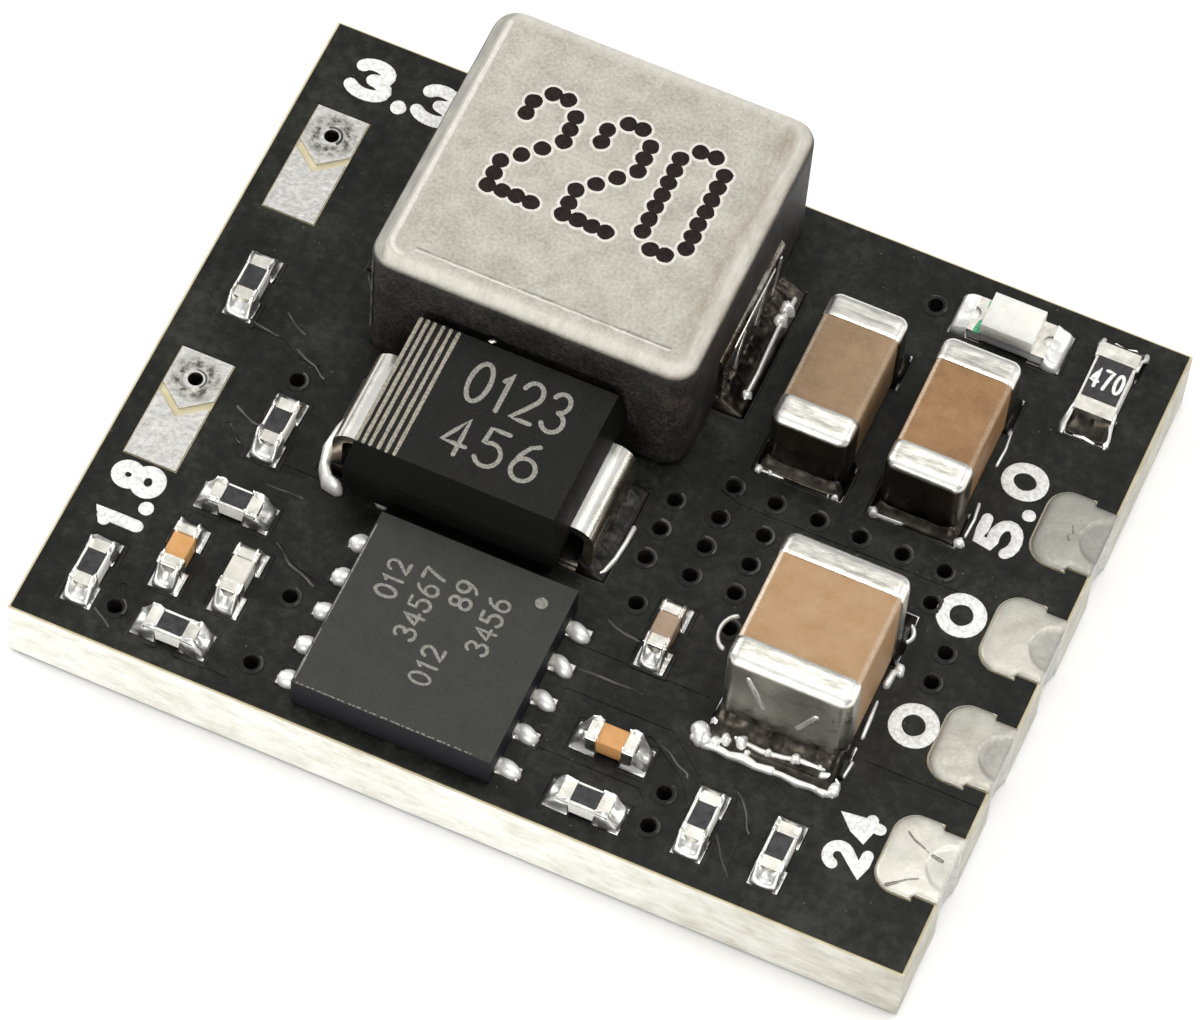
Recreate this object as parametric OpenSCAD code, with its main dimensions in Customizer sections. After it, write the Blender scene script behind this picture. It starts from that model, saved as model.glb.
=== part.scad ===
// Step-down (buck) converter module: a two-sided board with four castellated edge pads,
// a moulded power inductor, a catch diode, a controller chip and its chip components.
// Millimetres, +Z up. The origin is the centre of the board's bottom face, and +X points
// to the edge with the castellated pads. Places on the board are shares of its length and
// width from the front left corner (-X, -Y), so that they spread with the board while the
// standard components keep their sizes.

/* [Board] */
// Length of the board along X
board_l = 18; // [17.8:0.1:24]
// Width of the board along Y
board_w = 14.6; // [14.5:0.1:20]
// Thickness of the finished board
board_t = 1.6; // [0.8:0.1:2.4]
// Thickness of the solder mask on each face
mask_t = 0.04; // [0.03:0.01:0.06]
// Bare rim between the mask and the cut edge of the board
mask_rim = 0.05; // [0.02:0.01:0.1]
// Gap between a copper land and the mask around it
mask_gap = 0.03; // [0.02:0.01:0.06]
// Thickness of the copper lands with their finish
land_t = 0.05; // [0.04:0.01:0.08]
// Thickness of the solder film between a land and a component
film_t = 0.03; // [0.02:0.01:0.06]

/* [Vias] */
// Clear hole through a via
via_bore = 0.3; // [0.2:0.05:0.35]
// Wall of the plated barrel
via_wall = 0.04; // [0.03:0.01:0.06]
// Width of the raised mask ring around a via hole
ring_w = 0.1; // [0.06:0.01:0.12]
// Height of the raised mask ring
ring_h = 0.015; // [0.01:0.005:0.02]
// Column pitch of the via field beside the diode
field_dx = 0.91; // [0.8:0.01:0.95]
// Row pitch of the via field
field_dy = 0.69; // [0.6:0.01:0.72]

/* [Traces] */
// Width of the sunk lines between copper areas under the mask
line_w = 0.14; // [0.08:0.01:0.2]
// Depth of those lines in the mask
line_d = 0.02; // [0.01:0.005:0.025]

/* [Edge pads] */
// Pitch of the four castellated pads
pad_pitch = 2.54; // [2.3:0.02:2.6]
// Place of the pad row's middle along the edge, as a share of the board's width
pad_mid = 0.42; // [0.4:0.01:0.44]
// Width of a pad along the edge
pad_w = 1.7; // [1.4:0.05:2]
// Depth of a pad from the edge
pad_l = 1.31; // [1.1:0.01:1.4]
// Radius of the inner corners of a pad
pad_r = 0.45; // [0.2:0.05:0.6]
// Length of the narrower neck of a pad at the edge
neck_l = 0.5; // [0.3:0.05:0.6]
// Step in from the pad's side to its neck
neck_step = 0.12; // [0.05:0.01:0.2]
// Radius of the half hole in the board's edge
notch_r = 0.5; // [0.4:0.05:0.6]
// Plating in the half hole
plating_t = 0.05; // [0.03:0.01:0.08]
// Depth of the hollow in the solder plug's outer face
plug_dish = 0.1; // [0.04:0.01:0.2]

/* [Selector pads] */
// Width of a selector pad pair
sel_w = 1.06; // [0.8:0.02:1.2]
// Length of a selector pad pair
sel_l = 2.57; // [2.3:0.01:2.7]
// Gap between the two halves
sel_gap = 0.2; // [0.15:0.01:0.3]
// Depth of the V between the halves
sel_v = 0.42; // [0.3:0.01:0.5]
// Height of the gap's ends above the lower edge
sel_split = 1.7; // [1.5:0.01:1.8]
// Distance of the pads from the left edge
sel_inset = 0.49; // [0.3:0.01:0.6]
// Distance of the rear selector from the rear edge
sel_rear = 1.96; // [1.8:0.01:2.1]
// Distance of the front selector from the front edge
sel_front = 3.95; // [3.8:0.01:4.1]

/* [Inductor] */
// Length between the terminal sides
ind_l = 6.6; // [6:0.1:7]
// Height
ind_h = 3.2; // [2.4:0.1:4]
// Radius of the upright edges
ind_r = 0.5; // [0.3:0.05:0.8]
// Bevel along the top edges
ind_bevel = 0.22; // [0.1:0.02:0.4]
// Width of the terminal straps
strap_w = 3; // [2.4:0.1:3.6]
// Thickness of the terminal straps
strap_t = 0.2; // [0.15:0.05:0.3]
// Height at which a strap leaves the body
strap_h = 1.6; // [1.2:0.1:1.9]
// Outer bend radius of the straps
strap_r = 0.3; // [0.25:0.05:0.4]
// Length of a strap's foot under the body
strap_foot = 1.5; // [1.2:0.1:2]
// Place of the inductor's centre, as a share of the board's length
ind_share = 0.38; // [0.37:0.002:0.39]
// Distance of the inductor from the rear edge; its width is the room left in its row
ind_rear = 0.25; // [0.15:0.01:0.4]
// Diameter of the winding's wire
wire_d = 0.36; // [0.3:0.02:0.4]
// Inner radius of the winding
coil_r = 1.05; // [0.9:0.05:1.2]
// Layers of the winding
coil_layers = 3; // [2:1:3]
// Turns in a layer
coil_rows = 5; // [3:1:5]

/* [Diode] */
// Length of the moulded body
dio_l = 4.35; // [4:0.05:4.6]
// Width of the moulded body
dio_w = 3.3; // [3:0.05:3.4]
// Height above the lands
dio_h = 2.2; // [1.8:0.05:2.5]
// Length over the leads
dio_span = 5.33; // [5.2:0.01:5.5]
// Slope of the moulded sides, as an inset at the top and bottom
dio_draft = 0.16; // [0.08:0.02:0.24]
// Height of the leads and the mould's parting line
dio_part = 1.25; // [1:0.05:1.4]
// Width of the leads
lead_w = 2; // [1.8:0.05:2.2]
// Thickness of the leads
lead_t = 0.2; // [0.15:0.01:0.3]
// Outer bend radius of the leads
lead_r = 0.4; // [0.35:0.05:0.5]
// Length of a lead's foot under the body
lead_foot = 1.3; // [1:0.05:1.5]
// Gap between the diode and the inductor
dio_gap = 0.04; // [0.03:0.01:0.2]

/* [Controller] */
// Side of the square package
ic_s = 4; // [3.8:0.05:4.1]
// Height of the package
ic_h = 0.75; // [0.6:0.01:0.9]
// Pitch of its leads
ic_pitch = 0.8; // [0.65:0.05:0.8]
// Leads on each side
ic_rows = 5; // [3:1:5]
// Width of a lead
ic_lead_w = 0.3; // [0.2:0.02:0.4]
// Length of a lead under the package
ic_lead_l = 0.45; // [0.3:0.05:0.6]
// Thickness of a lead and of the thermal pad
ic_lead_t = 0.2; // [0.15:0.01:0.25]
// Width of the thermal pad between the lead rows
ic_pad_w = 2.2; // [1.8:0.1:2.4]
// Length of the thermal pad
ic_pad_l = 3; // [2.4:0.1:3.2]
// How far the lands reach out beyond the package
ic_toe = 0.45; // [0.3:0.01:0.5]
// Place of its centre, as a share of the board's length
ic_share = 0.4222; // [0.41:0.002:0.43]
// Gap between the package and the diode
ic_gap = 0.22; // [0.1:0.01:0.3]
// Distance of the package from the front edge
ic_front = 0.39; // [0.3:0.01:0.6]

/* [Input capacitor] */
// Length
cin_l = 3.05; // [2.8:0.05:3.4]
// Width
cin_w = 2.5; // [2.2:0.05:2.7]
// Height
cin_h = 2.4; // [1.6:0.05:2.6]
// Length of its end caps
cin_cap = 0.56; // [0.3:0.02:0.8]
// How far its lands reach out beyond it
cin_toe = 0.6; // [0.3:0.02:0.65]

/* [Output capacitors] */
// Length
cout_l = 3.16; // [2.9:0.02:3.4]
// Width
cout_w = 1.6; // [1.4:0.05:1.8]
// Height
cout_h = 1.65; // [1:0.05:1.8]
// Length of their end caps
cout_cap = 0.6; // [0.3:0.02:0.8]
// How far their lands reach out beyond them
cout_toe = 0.22; // [0.15:0.01:0.4]

/* [Small chips] */
// Length of the small resistors and capacitors
chip_l = 1; // [0.9:0.02:1.1]
// Width of the small resistors and capacitors
chip_w = 0.5; // [0.4:0.02:0.6]
// Height of the small resistors
res_h = 0.35; // [0.25:0.01:0.4]
// Height of the small capacitors
cap_h = 0.5; // [0.4:0.02:0.6]
// Length of their end caps
chip_cap = 0.24; // [0.15:0.01:0.3]
// How far their lands reach out beyond them
chip_toe = 0.27; // [0.2:0.01:0.3]

/* [Indicator] */
// Length of the light-emitting diode
led_l = 1.6; // [1.5:0.05:1.8]
// Width of the light-emitting diode
led_w = 0.8; // [0.7:0.05:0.9]
// Height of its carrier
led_base_h = 0.25; // [0.2:0.01:0.4]
// Height of its lens
led_lens_h = 0.33; // [0.2:0.01:0.5]
// Length of its lens
led_lens_l = 1.06; // [0.9:0.02:1.2]
// Length of its end contacts
led_cap = 0.3; // [0.2:0.01:0.4]
// Radius of the half holes in its ends
led_notch = 0.15; // [0.1:0.01:0.2]
// Length of its series resistor
rled_l = 1.6; // [1.5:0.05:1.8]
// Width of its series resistor
rled_w = 0.8; // [0.7:0.05:0.9]
// Height of its series resistor
rled_h = 0.45; // [0.35:0.01:0.5]
// Length of the series resistor's end caps
rled_cap = 0.32; // [0.2:0.01:0.4]
// How far the lands of both reach out beyond them
led_toe = 0.35; // [0.2:0.01:0.4]
// Distance of the light-emitting diode's middle from the rear edge
led_rear = 1.07; // [1:0.01:1.2]
// Distance of the series resistor's middle from the rear edge
rled_rear = 1.54; // [1.5:0.01:1.8]
// Distance of the series resistor's middle from the right edge
rled_side = 1.23; // [1:0.01:1.4]

/* [Finish] */
// Thickness of the metal on chip ends
plate_t = 0.03; // [0.02:0.005:0.04]
// Thickness of the resistors' dark overcoat
coat_t = 0.04; // [0.03:0.005:0.06]
// Rim of bare ceramic beside the overcoat
coat_rim = 0.05; // [0.03:0.01:0.1]
// Edge rounding of the large capacitors
cap_round = 0.16; // [0.08:0.02:0.2]
// Edge rounding of the small capacitors
chip_round = 0.06; // [0.03:0.01:0.08]
// How far a land is wider than its component, at each side
land_side = 0.1; // [0.05:0.01:0.12]
// Height of a solder fillet as a share of its component's height
fillet_rise = 0.6; // [0.3:0.05:0.8]
// Lip of solder left at the outer end of a fillet
fillet_lip = 0.03; // [0.02:0.01:0.05]
// How far the centre of a fillet's hollow lies back from its chord, as a share of the chord
fillet_back = 0.51; // [0.51:0.01:0.6]

/* [Hidden] */
$fn = 48;
eps = 0.01;
// How far a cut runs on past the face it opens
past = 1;
CIN_TINT = "#c9a27a";
COUT_TINTS = ["#9f8468", "#b28758"];
CAP_TINTS = ["#d9a066", "#d8d5cc", "#a8906a", "#dd9c55"];

// Levels above the bottom face
core_z0 = mask_t;
core_z1 = board_t - mask_t;
core_t = core_z1 - core_z0;
land_z = core_z1 + land_t;
seat_z = land_z + film_t;

// Chip kinds: length, width, height, end cap, toe of the land, edge rounding
RES = [chip_l, chip_w, res_h, chip_cap, chip_toe, 0];
CAP = [chip_l, chip_w, cap_h, chip_cap, chip_toe, chip_round];
CIN = [cin_l, cin_w, cin_h, cin_cap, cin_toe, cap_round];
COUT = [cout_l, cout_w, cout_h, cout_cap, cout_toe, cap_round];
LED = [led_l, led_w, led_base_h, led_cap, led_toe, 0];
RLED = [rled_l, rled_w, rled_h, rled_cap, led_toe, 0];

// Placement: kind, shares of the board's length and width, turn
RESISTORS = [
    [RES, 0.0622, 0.5658, 90],
    [RES, 0.1617, 0.3815, 90],
    [RES, 0.1628, 0.2541, 0],
    [RES, 0.1683, 0.0521, 0],
    [RES, 0.0611, 0.0904, 90],
    [RES, 0.6333, 0.0486, 0],
    [RES, 0.7472, 0.0863, 90],
    [RES, 0.8317, 0.0877, 90]
];
CAPACITORS = [
    [CAP, 0.1356, 0.1555, 90],
    [CAP, 0.2028, 0.1555, 90],
    [CAP, 0.6267, 0.313, 90],
    [CAP, 0.6311, 0.1377, 0]
];
INPUT_CAP = [CIN, 0.7833, 0.3363, 90];
OUTPUT_CAPS = [[COUT, 0.6811, 0.7171, 90], [COUT, 0.8094, 0.7171, 90]];
LED_AT = [LED, 0.8144, 1 - led_rear / board_w, 0];
RLED_AT = [RLED, 1 - rled_side / board_l, 1 - rled_rear / board_w, 90];
CHIPS = concat(RESISTORS, CAPACITORS, [INPUT_CAP], OUTPUT_CAPS, [LED_AT], [RLED_AT]);

// The three large packages stand in a row from the front edge to the rear, and the
// inductor takes the width that the other two leave
ic_rear = ic_front + ic_s;
dio_front = ic_rear + ic_gap;
ind_front = dio_front + dio_w + dio_gap;
ind_w = board_w - ind_rear - ind_front;
IND_AT = [ind_share, 1 - (ind_rear + ind_w / 2) / board_w];
DIO_AT = [ind_share, (dio_front + dio_w / 2) / board_w];
IC_AT = [ic_share, (ic_front + ic_s / 2) / board_w];

// How far the lands of the large packages reach out, and how far all lands lap under an end
ind_toe = 0.52;
dio_toe = 0.3;
land_lap = 0.02;

// Inductor: half of a strap's thickness stands proud of the side it lies on
ind_body_z = strap_t / 2;
strap_proud = strap_t / 2;
ind_span = ind_l + 2 * strap_proud;
wire_lap = 0.02;
coil_pitch = wire_d - wire_lap;
coil_out = coil_r + coil_layers * coil_pitch;
coil_h = coil_rows * coil_pitch;
coil_gap = 0.02;
coil_z = strap_h - strap_t / 2;
tail_l = 0.4;
strap_tongue = ind_span / 2 - coil_out - tail_l;

// Diode: its clip stands clear of the die's side, and its body of its feet
die_t = 0.2;
dio_die_s = 1.4;
clip_w = 1;
clip_clear = 0.2;
foot_clear = 0.05;
dio_body_z = lead_t + foot_clear;
anode_arm = dio_span / 2 - dio_die_s / 2 - clip_clear;
dio_die_z = dio_part + lead_t / 2;
dio_clip_z = dio_die_z + die_t;

// Controller die
ic_die_w = 1.5;
ic_die_l = 2;

// Solder drawn in under a bend: how far in and how far up, as shares of the bend's radius
bend_in = 0.8;
bend_up = 0.9;

// How far the solder in a half hole stays below its land's top face
plug_low = 0.01;

// Vias: the field beside the diode, the row behind it, and single ones
FIELD_AT = [0.5711, 0.4123];
ROW_AT = [0.6206, 0.5575];
FIELD_STEPS = [field_dx / board_l, field_dy / board_w];
row_share = 0.0478;
VIAS = concat(
    [
        for (i = [0:2], j = [0:2])
            FIELD_AT + [i * FIELD_STEPS[0], j * FIELD_STEPS[1]]
    ],
    [for (i = [0:5]) ROW_AT + [i * row_share, 0]],
    [[0.8611, 0.5068], [0.8972, 0.4466], [0.8972, 0.3993]],
    [[0.7278, 0.9267], [0.5844, 0.3452], [0.6844, 0.3616]],
    [[0.2578, 0.1658], [0.255, 0.0575], [0.1, 0.0575]],
    [[0.1539, 0.4623], [0.6994, 0.1082], [0.6994, 0.0575]]
);
sel_x = (sel_inset + sel_w / 2) / board_l;
sel_via_up = 2;
SEL_Y = [sel_front, board_w - sel_rear - sel_l];
SEL_VIAS = [for (y = SEL_Y) [sel_x, (y + sel_via_up) / board_w]];
via_out = via_bore + 2 * via_wall;
ring_d = via_bore + 2 * ring_w;

// Sunk lines between copper areas, as polylines in shares of the board
LINES = [
    [[0.55, 0.2548], [0.6944, 0.2548]],
    [[0.8722, 0.2548], [0.9944, 0.2548]],
    [[0.5611, 0.1904], [0.6778, 0.1904], [0.7278, 0.1404]],
    [[0.6611, 0.1712], [0.7056, 0.1336], [0.7194, 0.1096]],
    [[0.7639, 0.1507], [0.7944, 0.0993], [0.7944, 0.0411]],
    [[0.5611, 0.0973], [0.6722, 0.0973], [0.6833, 0.0822]],
    [[0.0861, 0.5082], [0.1167, 0.5082], [0.1444, 0.4897], [0.1667, 0.4897], [0.1944, 0.4384]],
    [[0.1111, 0.363], [0.1361, 0.3356], [0.2389, 0.3356]],
    [[0.2233, 0.226], [0.2444, 0.2055], [0.2778, 0.1952]],
    [[0.0972, 0.089], [0.1222, 0.0308], [0.2389, 0.0205]],
    [[0.6056, 0.589], [0.6056, 0.5445], [0.6333, 0.5329], [0.8889, 0.5329]]
];

// ---------- shared forms ----------

function spot(p) = [(p[0] - 0.5) * board_l, (p[1] - 0.5) * board_w];

// Puts what follows at a share of the board, at a height
module at(p, z = 0, turn = 0)
    translate([spot(p)[0], spot(p)[1], z]) rotate(turn) children();

module place(chip)
    at([chip[1], chip[2]], seat_z, chip[3]) children();

// The same for plans
module at_flat(p, turn = 0)
    translate(spot(p)) rotate(turn) children();

module both_ends()
    for (side = [0, 180]) rotate(side) children();

module bar(x0, x1, w, z0, z1)
    translate([x0, -w / 2, z0]) cube([x1 - x0, w, z1 - z0]);

module round_rect(l, w, r) {
    square([l - 2 * r, w], center = true);
    square([l, w - 2 * r], center = true);
    for (x = [-1, 1], y = [-1, 1])
        translate([x * (l / 2 - r), y * (w / 2 - r)]) circle(r);
}

// A block with every edge rounded, standing on z = 0
module soft_block(l, w, h, r)
    intersection() {
        linear_extrude(h) round_rect(l, w, r);
        translate([0, w / 2, h / 2]) rotate([90, 0, 0]) linear_extrude(w) round_rect(l, h, r);
        translate([-l / 2, 0, h / 2]) rotate([90, 0, 90]) linear_extrude(l) round_rect(w, h, r);
    }

// A strip bent round two corners, in side view: its outer face is at x = 0, its foot at y = 0
module bent_strip(h, t, r, arm, foot) {
    reach = max(arm, foot);
    difference() {
        translate([-reach, 0]) square([reach, h]);
        translate([-reach - eps, t]) square([reach - t - (r - t) + eps, h - 2 * t]);
        translate([-r - eps, r]) square([r - t + eps, h - 2 * r]);
        for (y = [r, h - r]) translate([-r, y]) circle(r - t);
        bend_wedge(r);
        translate([0, h]) mirror([0, 1]) bend_wedge(r);
        translate([-reach - eps, h - t - eps]) square([reach - arm + eps, t + 2 * eps]);
        translate([-reach - eps, -eps]) square([reach - foot + eps, t + 2 * eps]);
    }
}

// What a square corner at the origin has outside a bend of radius r
module bend_wedge(r)
    difference() {
        translate([-r, -eps]) square([r + eps, r + eps]);
        translate([-r, r]) circle(r);
    }

// Stands a side view up and gives it a width
module across(w)
    translate([0, w / 2, 0]) rotate([90, 0, 0]) linear_extrude(w) children();

// A line of width w through places on the board
module trace(places, w)
    for (i = [0:len(places) - 2]) {
        step = spot(places[i + 1]) - spot(places[i]);
        translate(spot(places[i])) {
            circle(d = w, $fn = 24);
            rotate(atan2(step[1], step[0])) translate([0, -w / 2]) square([norm(step), w]);
        }
        translate(spot(places[i + 1])) circle(d = w, $fn = 24);
    }

// ---------- lands and solder ----------

function inner_end(kind) = kind[0] / 2 - kind[3] - land_lap;

// Plan of the two lands under a chip, grown by a margin
module chip_lands(kind, margin = 0)
    both_ends()
        translate([inner_end(kind) - margin, -kind[1] / 2 - land_side - margin])
            square([kind[3] + land_lap + kind[4] + 2 * margin, kind[1] + 2 * (land_side + margin)]);

module ic_lead_lands(margin = 0)
    both_ends()
        for (i = [0:ic_rows - 1])
            translate([ic_s / 2 - ic_lead_l - margin, (i - (ic_rows - 1) / 2) * ic_pitch])
                translate([0, -ic_lead_w / 2 - margin])
                    square([ic_lead_l + ic_toe + 2 * margin, ic_lead_w + 2 * margin]);

module ic_pad_land(margin = 0)
    square([ic_pad_w + 2 * margin, ic_pad_l + 2 * margin], center = true);

module strap_lands(span, foot, w, toe, margin = 0)
    both_ends()
        translate([span / 2 - foot - margin, -w / 2 - land_side - margin])
            square([foot + toe + 2 * margin, w + 2 * (land_side + margin)]);

// Plan of every component land on the board
module land_plan(margin = 0) {
    for (chip = CHIPS) at_flat([chip[1], chip[2]], chip[3]) chip_lands(chip[0], margin);
    at_flat(IC_AT) ic_lead_lands(margin);
    at_flat(IC_AT) ic_pad_land(margin);
    at_flat(IND_AT)
        strap_lands(ind_span, strap_foot, strap_w, ind_toe, margin);
    at_flat(DIO_AT)
        strap_lands(dio_span, lead_foot, lead_w, dio_toe, margin);
}

// A concave fillet in side view, from the foot of a wall at x = 0 out to the toe.
// Its hollow is a circle through the toe's lip and the top of the fillet.
module fillet_profile(toe, rise) {
    run = toe - eps;
    climb = rise - fillet_lip;
    chord = norm([run, climb]);
    back = fillet_back * chord * max(run / climb, climb / run);
    difference() {
        square([toe, rise]);
        translate([toe + eps, rise + fillet_lip] / 2 + [climb, run] / chord * back)
            circle(norm([back, chord / 2]));
    }
}

module fillet(toe, rise, w)
    across(w) fillet_profile(toe, rise);

module chip_solder(kind) {
    rise = kind[2] * fillet_rise;
    both_ends() {
        translate([0, 0, -film_t]) linear_extrude(film_t)
            translate([inner_end(kind), -kind[1] / 2 - land_side])
                square([kind[3] + land_lap + kind[4], kind[1] + 2 * land_side]);
        translate([kind[0] / 2, 0, -eps]) fillet(kind[4], rise + eps, kind[1] - 2 * kind[5]);
    }
}

// ---------- board ----------

module via_cut(d)
    for (p = VIAS) at(p, -eps) cylinder(d = d, h = board_t + past);

module selector_via_cut(d)
    for (p = SEL_VIAS) at(p, -eps) cylinder(d = d, h = board_t + past);

function pad_at(i) = [1, pad_mid + (i - 1.5) * pad_pitch / board_w];

module edge_holes(r)
    for (i = [0:3]) at(pad_at(i), -eps) cylinder(r = r, h = board_t + past);

module board_laminate()
    color("#cfc7a4")
        difference() {
            translate([-board_l / 2, -board_w / 2, core_z0]) cube([board_l, board_w, core_t]);
            via_cut(via_out);
            selector_via_cut(via_out);
            edge_holes(notch_r);
        }

module mask_sheet()
    linear_extrude(mask_t)
        square([board_l - 2 * mask_rim, board_w - 2 * mask_rim], center = true);

module solder_mask_top()
    color("#16171a")
        translate([0, 0, core_z1])
            difference() {
                union() {
                    mask_sheet();
                    for (p = VIAS) at(p) cylinder(d = ring_d, h = mask_t + ring_h);
                }
                translate([0, 0, -core_z1]) via_cut(via_bore);
                translate([0, 0, -eps]) linear_extrude(mask_t + past) land_plan(mask_gap);
                translate([0, 0, -eps]) linear_extrude(mask_t + past) pad_plans(mask_gap);
                translate([0, 0, -eps]) linear_extrude(mask_t + past) selector_window();
                translate([0, 0, mask_t - line_d])
                    for (line = LINES) linear_extrude(past) trace(line, line_w);
            }

module solder_mask_bottom()
    color("#16171a")
        difference() {
            mask_sheet();
            via_cut(via_bore);
            selector_via_cut(via_bore);
            translate([0, 0, -eps]) linear_extrude(mask_t + past) pad_plans(mask_gap);
        }

module via_barrels()
    color("#b9b4a6")
        translate([0, 0, core_z0])
            difference() {
                union() {
                    for (p = concat(VIAS, SEL_VIAS)) at(p) cylinder(d = via_out, h = core_t);
                }
                translate([0, 0, -core_z0]) via_cut(via_bore);
                translate([0, 0, -core_z0]) selector_via_cut(via_bore);
            }

// ---------- castellated edge pads ----------

// Plan of one pad, with the board's edge on x = 0
module pad_plan(margin = 0) {
    neck_w = pad_w - 2 * neck_step;
    translate([-neck_l - eps, -neck_w / 2 - margin])
        square([neck_l + eps + margin, neck_w + 2 * margin]);
    intersection() {
        translate([-pad_l / 2, 0])
            round_rect(pad_l + 2 * margin, pad_w + 2 * margin, pad_r + margin);
        translate([-pad_l - margin, -pad_w])
            square([pad_l - neck_l + 2 * margin, 2 * pad_w]);
    }
}

module pad_plans(margin = 0)
    for (i = [0:3]) at_flat(pad_at(i)) pad_plan(margin);

// A plated half hole with a land on each face of the board
module edge_pad(i)
    color("#d5d3cd")
        at(pad_at(i))
            difference() {
                union() {
                    linear_extrude(mask_t) pad_plan();
                    translate([0, 0, core_z1]) linear_extrude(land_t) pad_plan();
                    cylinder(r = notch_r, h = land_z);
                }
                translate([0, 0, -eps]) cylinder(r = notch_r - plating_t, h = land_z + past);
                translate([0, -pad_w, -eps]) cube([pad_w, 2 * pad_w, land_z + past]);
            }

// Solder that fills the half holes, hollowed on its outer face
module edge_pad_solder()
    color("#b9b9b6")
        for (i = [0:3])
            at(pad_at(i), mask_t)
                linear_extrude(land_z - mask_t - plug_low)
                    difference() {
                        circle(notch_r - plating_t);
                        translate([0, -past]) square(2 * past);
                        dish_circle(notch_r - plating_t, plug_dish);
                    }

// A large circle that bites as deep as the dish into a chord of the given half width
module dish_circle(half, depth) {
    r = (half * half + depth * depth) / (2 * depth);
    translate([r - depth, 0]) circle(r, $fn = 96);
}

// ---------- selector pads ----------

module selector_chevron(y0)
    polygon([
        [-sel_w / 2 - past, y0 + sel_v * (1 + 2 * past / sel_w)],
        [0, y0],
        [sel_w / 2 + past, y0 + sel_v * (1 + 2 * past / sel_w)],
        [sel_w / 2 + past, sel_l + past],
        [-sel_w / 2 - past, sel_l + past]
    ]);

// Upper half: everything above the V; lower half: everything below it
module selector_pair()
    linear_extrude(land_t)
        difference() {
            translate([-sel_w / 2, 0]) square([sel_w, sel_l]);
            difference() {
                selector_chevron(sel_split - sel_v - sel_gap);
                selector_chevron(sel_split - sel_v);
            }
            translate([0, sel_via_up]) circle(d = via_bore);
        }

module selector_window()
    for (y = SEL_Y)
        at_flat([sel_x, y / board_w])
            translate([-sel_w / 2 - mask_gap, -mask_gap])
                square([sel_w + 2 * mask_gap, sel_l + 2 * mask_gap]);

module selector(i)
    color("#d9d6cf")
        at([sel_x, SEL_Y[i] / board_w], core_z1) selector_pair();

// ---------- lands and solder joints of the components ----------

module component_lands()
    color("#d8a35a")
        translate([0, 0, core_z1]) linear_extrude(land_t) land_plan();

module solder_joints()
    color("#d7d7d4") {
        for (chip = CHIPS) place(chip) chip_solder(chip[0]);
        at(IC_AT, seat_z) ic_solder();
        at(IND_AT, seat_z)
            strap_solder(ind_span, strap_foot, strap_w, ind_toe, strap_r, strap_h * fillet_rise);
        at(DIO_AT, seat_z)
            strap_solder(dio_span, lead_foot, lead_w, dio_toe, lead_r, dio_part * fillet_rise);
    }

module ic_solder() {
    translate([0, 0, -film_t]) linear_extrude(film_t) ic_lead_lands();
    translate([0, 0, -film_t]) linear_extrude(film_t) ic_pad_land();
    both_ends()
        for (i = [0:ic_rows - 1])
            translate([ic_s / 2, (i - (ic_rows - 1) / 2) * ic_pitch, -eps])
                fillet(ic_toe, ic_lead_t + eps, ic_lead_w);
}

// The film under a bent terminal, the fillet against its leg and the wedge under its bend
module strap_solder(span, foot, w, toe, r, rise) {
    translate([0, 0, -film_t]) linear_extrude(film_t) strap_lands(span, foot, w, toe);
    both_ends()
        translate([span / 2, 0, 0]) {
            translate([0, 0, -eps]) fillet(toe, rise + eps, w);
            across(w) bend_fill(r);
        }
}

// Solder drawn in under a bend of radius r
module bend_fill(r)
    difference() {
        translate([-bend_in * r, -eps]) square([bend_in * r + eps, bend_up * r + eps]);
        translate([-r, r]) circle(r);
    }

// ---------- inductor ----------

module inductor_terminal_shape()
    both_ends()
        translate([ind_span / 2, 0, 0])
            across(strap_w)
                bent_strip(strap_h, strap_t, strap_r, strap_tongue, strap_foot);

module inductor_blank()
    intersection() {
        translate([0, 0, ind_body_z])
            linear_extrude(ind_h - ind_body_z) round_rect(ind_l, ind_w, ind_r);
        across(ind_w) bevelled_side(ind_l, ind_h, ind_bevel);
        rotate(90) across(ind_l) bevelled_side(ind_w, ind_h, ind_bevel);
    }

module bevelled_side(l, h, c)
    polygon([
        [-l / 2, 0], [l / 2, 0], [l / 2, h - c], [l / 2 - c, h],
        [-l / 2 + c, h], [-l / 2, h - c]
    ]);

module winding_space(gap)
    translate([0, 0, coil_z])
        rotate_extrude($fn = 96)
            translate([coil_r - gap, -coil_h / 2 - gap])
                square([coil_out - coil_r + 2 * gap, coil_h + 2 * gap]);

// The tails run from the winding's outer layer to the straps' tongues
module winding_tails(gap)
    both_ends()
        translate([coil_out - wire_d / 2, 0, coil_z]) rotate([0, 90, 0])
            cylinder(d = wire_d + 2 * gap, h = tail_l + wire_d / 2);

module inductor_body()
    color("#8f8a80")
        at(IND_AT, seat_z)
            difference() {
                inductor_blank();
                inductor_terminal_shape();
                side_recess();
                winding_space(coil_gap);
                winding_tails(coil_gap);
            }

// Shallow seats in the sides and the bottom for the straps
module side_recess()
    both_ends()
        translate([ind_span / 2 - strap_t, -strap_w / 2, -eps])
            cube([strap_t + eps, strap_w, strap_h + eps - strap_t]);

module inductor_winding()
    color("#b5652a")
        at(IND_AT, seat_z) {
            translate([0, 0, coil_z])
                rotate_extrude($fn = 96)
                    for (i = [0:coil_layers - 1], j = [0:coil_rows - 1])
                        translate([
                            coil_r + (i + 0.5) * coil_pitch,
                            (j + 0.5) * coil_pitch - coil_h / 2
                        ])
                            circle(d = wire_d, $fn = 24);
            winding_tails(0);
        }

module inductor_terminals()
    color("#cfcdc8")
        at(IND_AT, seat_z) inductor_terminal_shape();

// ---------- diode ----------

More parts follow.
